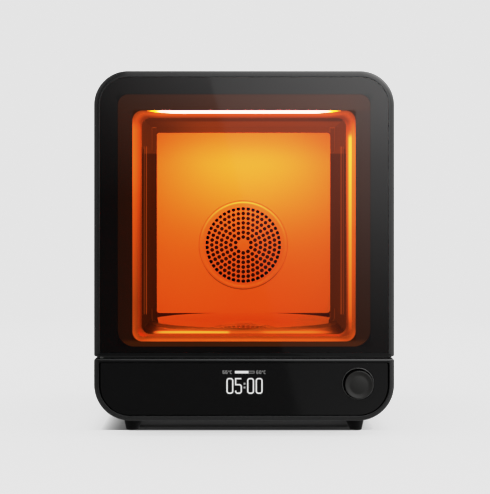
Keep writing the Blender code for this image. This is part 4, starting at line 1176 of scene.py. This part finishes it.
def lit_strokes(name, strokes, look):
    """Lit strokes as thin closed prisms across the fascia's front."""
    build = bmesh.new()
    for points, width, closed in strokes:
        sections = []
        for pair in zip(*stroke_sides(points, width, closed)):
            sections.append([build.verts.new((side.x * MILLI, y * MILLI, side.y * MILLI))
                             for side in pair for y in (LIT_FRONT, LIT_BACK)])
        count = len(points)
        for i in range(count if closed else count - 1):
            this, after = sections[i], sections[(i + 1) % count]
            build.faces.new((this[0], this[2], after[2], after[0]))
            build.faces.new((this[1], after[1], after[3], this[3]))
            build.faces.new((this[0], after[0], after[1], this[1]))
            build.faces.new((this[2], this[3], after[3], after[2]))
        if not closed:
            build.faces.new([sections[0][i] for i in (0, 1, 3, 2)])
            build.faces.new([sections[-1][i] for i in (0, 2, 3, 1)])
    bmesh.ops.recalc_face_normals(build, faces=build.faces)
    piece(as_object(name, build), "cabinet", "diffuser", look=look)


def arc(x, z, radius, start, end, steps=8):
    angles = [math.radians(start + (end - start) * i / steps) for i in range(steps + 1)]
    return [(x + radius * math.cos(angle), z + radius * math.sin(angle)) for angle in angles]


def glyph(sign, x0, x1, z0, z1, width, radius):
    """Stroke of 0, 5, 6 or C that fills the given rectangle."""
    left, right, low, high = x0 + width / 2, x1 - width / 2, z0 + width / 2, z1 - width / 2
    inner_left, inner_right = left + radius, right - radius
    if sign == "0":
        return rrect(left, low, right, high, radius, seg=8), width, True
    if sign == "5":
        middle = low + (high - low) * 0.585
        points = [(right, high), (left, high), (left, middle)]
        points += arc(inner_right, middle - radius, radius, 90, 0)
        points += arc(inner_right, low + radius, radius, 0, -90)
        points += arc(inner_left, low + radius, radius, -90, -180)
        return points + [(left, low + radius + 0.5)], width, False
    points = [(right, high)] + arc(inner_left, high - radius, radius, 90, 180, 6)
    points += arc(inner_left, low + radius, radius, 180, 270, 6)
    if sign == "C":
        return points + [(right, low)], width, False
    middle = low + (high - low) * 0.56
    points += arc(inner_right, low + radius, radius, 270, 360, 6)
    points += arc(inner_right, middle - radius, radius, 0, 90, 6)
    return points + [(left, middle)], width, False


def label(figures, x):
    """Two figures, a degree ring and a C."""
    def sign(character, start, end):
        return glyph(character, x + start, x + end, LABEL_LOW, LABEL_HIGH, 0.52, 0.62)

    return [sign(figures[0], 0, 2.0), sign(figures[1], 2.55, 4.55),
            (circle(x + 5.75, LABEL_HIGH - 0.65, 0.42, 12), 0.34, True), sign("C", 6.75, 8.6)]


def display():
    """Time, colon, two temperature labels and the bar between them."""
    lit_strokes("display_time", [glyph(sign, x0, x1, TIME_LOW, TIME_HIGH, 1.15, 1.9)
                                 for sign, x0, x1 in TIME_DIGITS], "digit")
    half = COLON_SIZE / 2
    lit_strokes("display_colon", [([(COLON_X - half, z), (COLON_X + half, z)], COLON_SIZE, False)
                                  for z in COLON_Z], "digit_dot")
    lit_strokes("display_labels", [part for figures, x in LABELS for part in label(figures, x)],
                "digit_dim")
    middle = (BAR_LOW + BAR_HIGH) / 2
    lit_strokes("display_bar_lit",
                [([(x, middle) for x in BAR_LIT], BAR_HIGH - BAR_LOW, False)], "digit")
    line = 0.5
    start, end = BAR_REST[0], BAR_REST[1] - line / 2
    low, high = BAR_LOW + line / 2, BAR_HIGH - line / 2
    lit_strokes("display_bar_rest",
                [([(start, high), (end, high), (end, low), (start, low)], line, False)],
                "digit_dim")


# ================================================================ chamber
def chamber_front():
    """Flat steel flange round the opening, rolled inner edge."""
    flange = plate([outline(134.2, 66.0, 331.7, 0.0, 27.7),
                    outline(104.5, 84.75, 300.95, 9.2, seg=20)], -118.0, -116.0,
                   name="front_flange")
    flange = cut(flange, box(-136, -120, LEAF_LOW - 0.8, -125.6, -114, LEAF_HIGH + 0.8))
    piece(softened(flange, 0.35), "cabinet", "dark_steel", "chamber_flange", look="flange_steel")


def cove():
    """Polished cove round the opening, curling inward to the chamber."""
    rings = []      # (y, half width, bottom, top, corner radius)
    for k in range(21):
        angle = math.radians(90 * k / 20)
        inward = 1 - math.cos(angle)
        rings.append((COVE_FRONT + COVE_DEPTH * math.sin(angle), 105.5 - 8.5 * inward,
                      84.2 + 5.8 * inward, 302.6 - 7.2 * inward, 9.5 - 1.5 * inward))
    rings += [(-99.9, 97.0, 90.0, 295.4, 8.0), (-99.6, 97.35, 89.7, 295.7, 8.2),
              (-99.6, 102.3, 85.8, 301.4, 10.0)]
    shape = skin("opening_cove", [at_depth(outline(half, low, high, radius, seg=16), y)
                                  for y, half, low, high, radius in rings], "open")
    solid = shape.modifiers.new("thickness", "SOLIDIFY")
    solid.thickness = 0.9 * MILLI
    # thickens away from the opening whichever way the open surface's normals point
    solid.offset = 1.0 if shape.data.polygons[0].normal.dot(Vector((0, 0, 1))) < 0 else -1.0
    shape = settle(shape, limit=0)
    # slot for the lamp
    shape = cut(shape, plate([outline(91.5, -114.1, -106.4, 3.6, seg=10)], 297.5, 306, "Z"))
    piece(shape, "cabinet", "reflector", "chamber_lip", look="lip")


def lamp_lens():
    """Opal lens of the light bar, thinning towards its ends."""
    half, straight, top, front, back = 91.0, 62.0, 304.2, -113.6, -106.9
    rings = []
    for i in range(49):
        x = -half + 2 * half * i / 48
        taper = max(0.0, (abs(x) - straight) / (half - straight))
        low = 299.2 + 2.0 * taper ** 1.6
        section = fillet([(front, top), (front, low), (back, low), (back, top)],
                         {1: 0.6, 2: 0.6}, 4)
        rings.append([(x, y, z) for y, z in section])
    piece(skin("lamp_lens", rings), "cabinet", "diffuser", "top_light_cover")


# Rings of punched holes: (ring radius, number of holes)
GRILLE_HOLES = [(8.8, 10), (14.0, 16), (19.2, 22), (24.4, 28), (29.6, 34), (34.8, 40), (40.1, 46)]
# Bead section, front then back: (radius, height towards the front)
GRILLE_BEAD = [(42.4, 1.55), (43.6, 1.62), (44.6, 1.8), (45.4, 2.15), (46.2, 2.5), (47.0, 2.62),
               (47.7, 2.4), (48.3, 1.9), (48.8, 1.2), (49.2, 0.75), (49.4, 0.5),
               (49.4, 0.0), (48.6, 0.0), (48.0, 0.6), (47.4, 1.3), (46.8, 1.5), (46.0, 1.35),
               (45.0, 0.95), (42.4, 0.8)]


def air_grille():
    """Pressed disc: seven rings of punched holes inside a raised bead."""
    holes = []
    for radius, count in GRILLE_HOLES:
        for i in range(count):
            angle = math.pi / 2 + 2 * math.pi * i / count
            holes.append(circle(radius * math.cos(angle), GRILLE_Z + radius * math.sin(angle),
                                2.27, 18, angle))
    disc = plate([circle(0, GRILLE_Z, 42.9, 128)] + holes, 93.55, 94.25, name="air_grille")
    bead = turned("bead", GRILLE_BEAD, (0, 95.2, GRILLE_Z), "FRONT", 160, closed=True)
    piece(add(disc, bead), "cabinet", "reflector", "fan_grille", look="grille", angle=38)


def back_sheet():
    sheet = plate([outline(102.5, 85.5, 301.7, 0), circle(0, GRILLE_Z, 42, 96)], 95.5, 97.0,
                  name="back_sheet")
    piece(sheet, "cabinet", "reflector", "chamber_back_panel", look="panel")


def side_wall(word, side):
    """Side wall with its rear flange and rounded flange corners."""
    flange_edge = 96.0 if side > 0 else -95.4
    section = [(side * 101.0, -99.2), (side * 101.0, 93.2), (side * 100.5, 93.7),
               (flange_edge, 93.7), (flange_edge, 95.2), (side * 102.5, 95.2),
               (side * 102.5, -99.2)]
    wall = plate([section], 87.3, 299.9, "Z", name=word + "_side_wall")
    # gussets that round the visible corners of the frame
    radius = 3.6
    gussets = []
    for corner_z, upward in ((95.4, 1), (294.3, -1)):
        loop = [(side * 96.2, corner_z - upward * 0.25), (side * 92.4, corner_z - upward * 0.25),
                (side * 92.4, corner_z)]
        for i in range(1, 11):
            angle = math.radians(9 * i)
            loop.append((side * (92.4 + radius * math.sin(angle)),
                         corner_z + upward * (radius - radius * math.cos(angle))))
        loop.append((side * 96.2, corner_z + upward * radius))
        gussets.append(plate([loop], 93.72, 95.18))
    piece(add(wall, *gussets), "cabinet", "dark_steel", f"chamber_{word}_wall",
          look="wall_steel")


def ceiling_sheet():
    """Ceiling with a flange down its rear edge."""
    sheet = box(-102.5, -99.2, 300.2, 102.5, 95.2, 301.7, name="ceiling_sheet")
    sheet = add(sheet, box(-95.7, 93.7, 294.3, 95.7, 95.2, 300.9))
    piece(softened(sheet, 0.25, angle=50), "cabinet", "dark_steel", "chamber_ceiling",
          look="ceiling_steel")


# ================================================================ turntable
def table_plate():
    """Glass disc with a shallow recess under its middle."""
    profile = fillet([(0, 4.0), (TABLE_RADIUS, 4.0), (TABLE_RADIUS, 0.0), (10.0, 0.0),
                      (10.0, 2.0), (0, 2.0)], {1: 1.0, 2: 1.0, 3: 0.3})
    disc = turned("turntable_plate_glass", profile, (0, TABLE_Y, TABLE_Z), steps=192)
    piece(disc, "turntable_plate", "clear_glass", "turntable_glass", angle=40)


def hub():
    """Stepped boss under the glass, bored for the shaft."""
    profile = fillet([(0, 5.2), (9.7, 5.2), (9.7, 3.2), (22.0, 3.2), (22.0, 0.0), (3.3, 0),
                      (3.3, 2.4), (0, 2.4)], {1: 0.5, 3: 0.6, 4: 0.4}, 4)
    boss = turned("turntable_boss", profile, (0, TABLE_Y, 89.0))
    piece(boss, "turntable_drive", "dark_plastic", "turntable_hub", look="hub_plastic")


# ================================================================ rear fittings
def inlet():
    """Mains inlet: an opening for the rocker and a socket with three pins."""
    body = box(-118.0, 122.0, 31.4, -68.0, 152.0, 58.6, name="mains_inlet")
    body = add(body, plate([rrect(-121.2, 28.8, -64.8, 61.2, 2.5, seg=8)], 150.8, 153.3))
    socket = [(-98.2, 35.2), (-70.4, 35.2), (-70.4, 49.5), (-75.5, 54.8), (-93.1, 54.8),
              (-98.2, 49.5)]
    body = cut(body, box(-115.6, 136, 34.0, -102.4, 156, 56.0), plate([socket], 137, 156))
    pins = [(-92.6, 40.5), (-78.0, 40.5), (-85.3, 45.6)]
    body = add(body, *[box(x, 135, z, x + 2.0, 149, z + 5.0) for x, z in pins])
    piece(softened(body, 0.3, angle=50), "cabinet", "dark_plastic", "power_inlet", flat=True)


def fan_blade(turn):
    """Twisted, cambered blade from root to tip, turned about the fan axis."""
    root, tip, half_chord, half_thickness = 8.6, 20.2, 5.0, 0.45
    build = bmesh.new()
    rows = []
    for k in range(6):
        radius = root + (tip - root) * k / 5
        twist = math.radians(52 - 20 * k / 5)
        row = []
        for side in (half_thickness, -half_thickness):
            for i in range(-3, 4):
                across = i / 3 * half_chord
                rise = side + 1.1 * (1 - (i / 3) ** 2)
                row.append(build.verts.new((
                    radius * MILLI,
                    (across * math.sin(twist) + rise * math.cos(twist)) * MILLI,
                    (across * math.cos(twist) - rise * math.sin(twist)) * MILLI)))
        rows.append(row[:7] + row[:6:-1])
    bridge(build, rows)
    build.faces.new(rows[0])
    build.faces.new(rows[-1])
    bmesh.ops.recalc_face_normals(build, faces=build.faces)
    build.transform(Matrix.Translation(Vector((COOLING_X, 142.9, COOLING_Z)) * MILLI)
                    @ Matrix.Rotation(turn, 4, "Y"))
    return as_object("blade", build)


def fan_rotor():
    rotor = turned("cooling_rotor", [(0, 11.4), (8.2, 11.4), (9.0, 11.1), (9.4, 10.3), (9.4, 0),
                                     (0, 0)], (COOLING_X, 137.2, COOLING_Z), "REAR", 64)
    rotor = add(rotor, *[fan_blade(2 * math.pi * i / 7) for i in range(7)])
    piece(rotor, "cooling_fan", "dark_plastic", "cooling_fan_rotor")


# ================================================================ build
casing_sleeve()
base_tray()
back_cover()
for end_word, end in (("front", -1), ("rear", 1)):
    for side_word, side in (("left", -1), ("right", 1)):
        foot(f"{end_word}_{side_word}", side, end)
for number, (x, z) in enumerate(COVER_SCREWS, 1):
    cover_screw(number, x, z)
door_moulding()
window_pane()
window_mask()
inner_liner()
gasket()
front_panel()
knob_ring()
knob()
display()
chamber_front()
cove()
lamp_lens()
air_grille()
back_sheet()
side_wall("left", -1)
side_wall("right", 1)
ceiling_sheet()
table_plate()
hub()
inlet()
fan_rotor()

# CAD pieces kept as they are: (look, width of the rolled edge in mm)
CARRIED = {
    "chassis_plate": ("steel", 0.3), "door_magnet": ("steel_z", 0.0),
    "upper_hinge_bracket": ("steel", 0.35), "upper_hinge_pin": ("steel_z", 0.0),
    "lower_hinge_pin": ("steel_z", 0.0), "display_module": ("dark_plastic", 0.0),
    "control_board": ("circuit_board", 0.0), "encoder_body": ("dark_plastic", 0.0),
    "encoder_shaft": ("steel", 0.0), "encoder_rotor": ("dark_plastic", 0.0),
    "chamber_floor": ("floor_steel", 0.25), "left_light_cover": ("light_window", 0.0),
    "right_light_cover": ("light_window", 0.0), "left_light_board": ("light_board", 0.0),
    "right_light_board": ("light_board", 0.0), "top_light_board": ("circuit_board", 0.0),
    "drive_shaft": ("steel_z", 0.0), "shaft_bushing": ("bronze", 0.0),
    "turntable_motor": ("steel", 0.0), "circulation_fan_housing": ("mask_black", 0.0),
    "circulation_impeller": ("dark_plastic", 0.15), "circulation_motor": ("steel", 0.0),
    "heater_coil": ("steel_z", 0.0), "temperature_sensor": ("steel", 0.0),
    "main_board": ("circuit_board", 0.0), "power_supply": ("steel", 0.0),
    "power_cable": ("rubber", 0.0), "power_rocker": ("gloss_black", 0.3),
    "cooling_fan_frame": ("dark_plastic", 0.3),
}
for node, (look, edge) in CARRIED.items():
    carried = NODES[node]
    carried.data.materials.clear()
    carried.data.materials.append(LOOKS[look])
    if edge:
        bevel(carried, edge, angle=40)


# ================================================================ chamber light
def area_light(name, place, target, size, watts):
    """Rectangular light, placed, aimed and sized in mm; unseen by the camera."""
    light = bpy.data.lights.new(name, "AREA")
    light.shape = "RECTANGLE"
    light.size, light.size_y = size[0] * MILLI, size[1] * MILLI
    light.energy = watts
    obj = linked(bpy.data.objects.new(name, light), scene.collection)
    obj.location = Vector(place) * MILLI
    aim = Vector(target) - Vector(place)
    obj.rotation_euler = aim.to_track_quat("-Z", "Y").to_euler()
    obj.visible_camera = False


area_light("bar_light", place=(0, -95, 290.5), target=(0, 95, 255), size=(170, 7), watts=0.16)
for word, side in (("left", -1), ("right", 1)):
    area_light(word + "_light", place=(side * 94, -94, 190), target=(side * 20, 95, 190),
               size=(5, 150), watts=0.030)

# ================================================================ world
# The fascia and pane mirror a flat card in front of the cabinet. Its coordinates across and up
# are direction ratios times CARD_DISTANCE.
CARD_DISTANCE = 1254.5
CARD_HALF_HEIGHT = 200
CARD_SLANT, CARD_SHIFT = 0.2665, -8.0       # lean and offset of the edge between its two parts
# Brightness up the card: (height, level)
CARD_LIT = [(-200, .26), (-134, .235), (-114, .27), (-66, .45), (-18, .74), (30, 1.16),
            (54, 1.38), (78, 1.77), (102, 2.17), (126, 2.5), (190, 2.9)]
CARD_DIM = [(-200, .004), (18, .01), (30, .025), (54, .065), (78, .11), (102, .18), (126, .28),
            (190, .45)]


def card_stops(table, share):
    """Ramp stops over the card's height, levels times share."""
    return [((height + CARD_HALF_HEIGHT) / (2.0 * CARD_HALF_HEIGHT), level * share)
            for height, level in table]


def studio_world():
    world = bpy.data.worlds.new("studio")
    scene.world = world
    tree = Tree("", world=world)
    x, y, z = tree.xyz(tree.add("TexCoord")["Generated"])
    # soft overhead light, growing to the right
    over = z.step(0.20, 0.85) * x.step(-0.13, 0.17, low=0.32, high=4.75, kind="LINEAR")
    # light from the right, and a weaker one from the left
    sides = (x.step(0.30, 0.85) * z.step(-0.35, 0.35, low=0.60, high=2.35)
             + x.step(-0.30, -0.85) * z.step(-0.35, 0.35, low=0.12, high=0.55))
    # light from the rear, with a dark middle
    off_axis = (x * x + z * z).sqrt()
    rear = y.step(0.0, 0.3) * off_axis.step(0.28, 0.62) * (z.step(-0.15, 0.2) * 0.5)
    # the card: a dim part on the left, a slanted edge, light falling off downward on the right
    forward = (y * -1.0).at_least(0.02)
    across = x / forward * CARD_DISTANCE
    up = z / forward * CARD_DISTANCE
    from_edge = up.scaled(CARD_SLANT, CARD_SHIFT) + across
    height = up.scaled(1 / (2.0 * CARD_HALF_HEIGHT), 0.5)
    lit = height.ramp(card_stops(CARD_LIT, 1 / 3.0)) * 3.0
    lit = lit * across.step(-190.0, 190.0, low=0.03, high=1.15, kind="LINEAR")
    dim = height.ramp(card_stops(CARD_DIM, 2.0)) * 0.5
    dim = dim * across.step(-187.0, 60.0, low=0.0, high=4.4, kind="LINEAR") + 0.07
    card = (lit - dim) * from_edge.step(-2.2, 2.2) + dim
    front = (y.step(-0.35, -0.75) * abs(across).step(1000.0, 420.0)
             * up.step(-330.0, -200.0))
    ground = z.step(-0.16, -0.26) * x.step(-0.6, 0.6, low=0.27, high=0.40)
    ambient = over + sides + (rear + ground + 0.05)
    total = ambient * (1.0 - front) + card * front

    def background(strength):
        return tree.add("Background", {"Color": WHITE, "Strength": strength})

    path = tree.add("LightPath")
    mirrored = background(total)
    backdrop = background(1.30)
    soft = background(z.step(-0.3, 0.9, low=0.55, high=1.55))
    unseen = tree.mix(path["Is Diffuse Ray"], mirrored, soft)
    tree.surface(tree.mix(path["Is Camera Ray"], unseen, backdrop))
    world.cycles.sampling_method = "NONE"


# ================================================================ studio floor
# Painted contact shadow beside the feet: (place, darkness); place 0 to 1 runs from |x| = 0.1 to 0.2
# m
SHADOW_LEFT = [(0.11, 0.93), (0.186, 0.86), (0.225, 0.77), (0.285, 0.62), (0.365, 0.38),
               (0.44, 0.19), (0.50, 0.09), (0.64, 0.0)]
SHADOW_RIGHT = [(0.11, 0.36), (0.21, 0.31), (0.25, 0.26), (0.33, 0.15), (0.45, 0.04), (0.56, 0.0)]


def floor_look():
    """Pale floor with a painted soft contact shadow, melting into the backdrop with distance."""
    tree = Tree("floor_look")
    place = tree.add("NewGeometry")["Position"]
    distance = tree.add("VectorMath", {0: place}, operation="LENGTH")["Value"]
    far = distance.step(0.35, 1.5)
    path = tree.add("LightPath")
    x, y, z = tree.xyz(place)
    off_centre = abs(x)
    left = x.below(0.0)
    under = y.step(-0.1085, -0.1050) * y.step(0.200, 0.150)
    core = off_centre.step(0.111, 0.106)
    outward = off_centre.scaled(10.0, -1.0)
    beside = outward.ramp(SHADOW_LEFT) * left + outward.ramp(SHADOW_RIGHT) * (1.0 - left)
    shadow = under * core.at_least(beside)
    tone = tree.blend(shadow, (0.66, 0.66, 0.659), (0.16, 0.16, 0.16))
    # lifts the floor to the backdrop's white, and the deepest shadow a trace
    fill = (1.0 - shadow) * 0.62 + under * core * 0.016
    diffuse = tree.add("BsdfDiffuse", {"Color": tone})
    light = tree.add("Emission", {"Color": WHITE, "Strength": path["Is Camera Ray"] * fill})
    lit = tree.add("AddShader", {0: diffuse, 1: light})
    return tree.surface(tree.mix(far, lit, tree.add("BsdfTransparent")))


def studio_floor():
    build = bmesh.new()
    bmesh.ops.create_circle(build, cap_ends=True, segments=96, radius=2.6)
    bmesh.ops.translate(build, vec=(0, 0, -0.0001), verts=build.verts)
    floor = as_object("studio_floor", build, scene.collection)
    floor.visible_glossy = False
    floor.data.materials.append(floor_look())


# ================================================================ camera and render
def add_camera():
    """Long lens looking straight along +Y."""
    camera = bpy.data.cameras.new("camera")
    camera.lens, camera.sensor_width = 91.4, 36.0
    camera.shift_x, camera.shift_y = 0.01174, -0.0595
    camera.clip_start, camera.clip_end = 0.02, 50
    obj = linked(bpy.data.objects.new("camera", camera), scene.collection)
    obj.location = (EYE_X, EYE_Y, EYE_Z)
    obj.rotation_euler = (math.pi / 2, 0, 0)
    scene.camera = obj


# Tone curve between black and white: (light as a share of the white level, output)
TONE_CURVE = [(0.070, 0.700), (0.100, 0.752), (0.140, 0.785), (0.175, 0.800), (0.384, 0.870),
              (0.90, 0.995)]


def set_colour():
    """Rolls highlights off, so strong amber light turns yellow and then white."""
    view = scene.view_settings
    view.view_transform = "Standard"
    view.look = "None"
    view.use_curve_mapping = True
    mapping = view.curve_mapping
    mapping.white_level = (10.0, 10.0, 10.0)
    mapping.extend = "HORIZONTAL"
    mapping.use_clip = True
    curve = mapping.curves[3]       # all channels together
    curve.points[0].location = (0.0, 0.0)
    curve.points[-1].location = (1.0, 1.0)
    for light, output in TONE_CURVE:
        curve.points.new(light, output)
    for point in curve.points:
        point.handle_type = "VECTOR"
    mapping.update()


def set_render():
    cycles = scene.cycles
    cycles.use_denoising = True
    cycles.max_bounces = 12
    cycles.diffuse_bounces = 4
    cycles.glossy_bounces = 6
    cycles.transmission_bounces = 8
    cycles.transparent_max_bounces = 32
    cycles.sample_clamp_indirect = 6.0
    cycles.caustics_reflective = False
    cycles.caustics_refractive = False


studio_world()
studio_floor()
add_camera()
set_colour()
set_render()
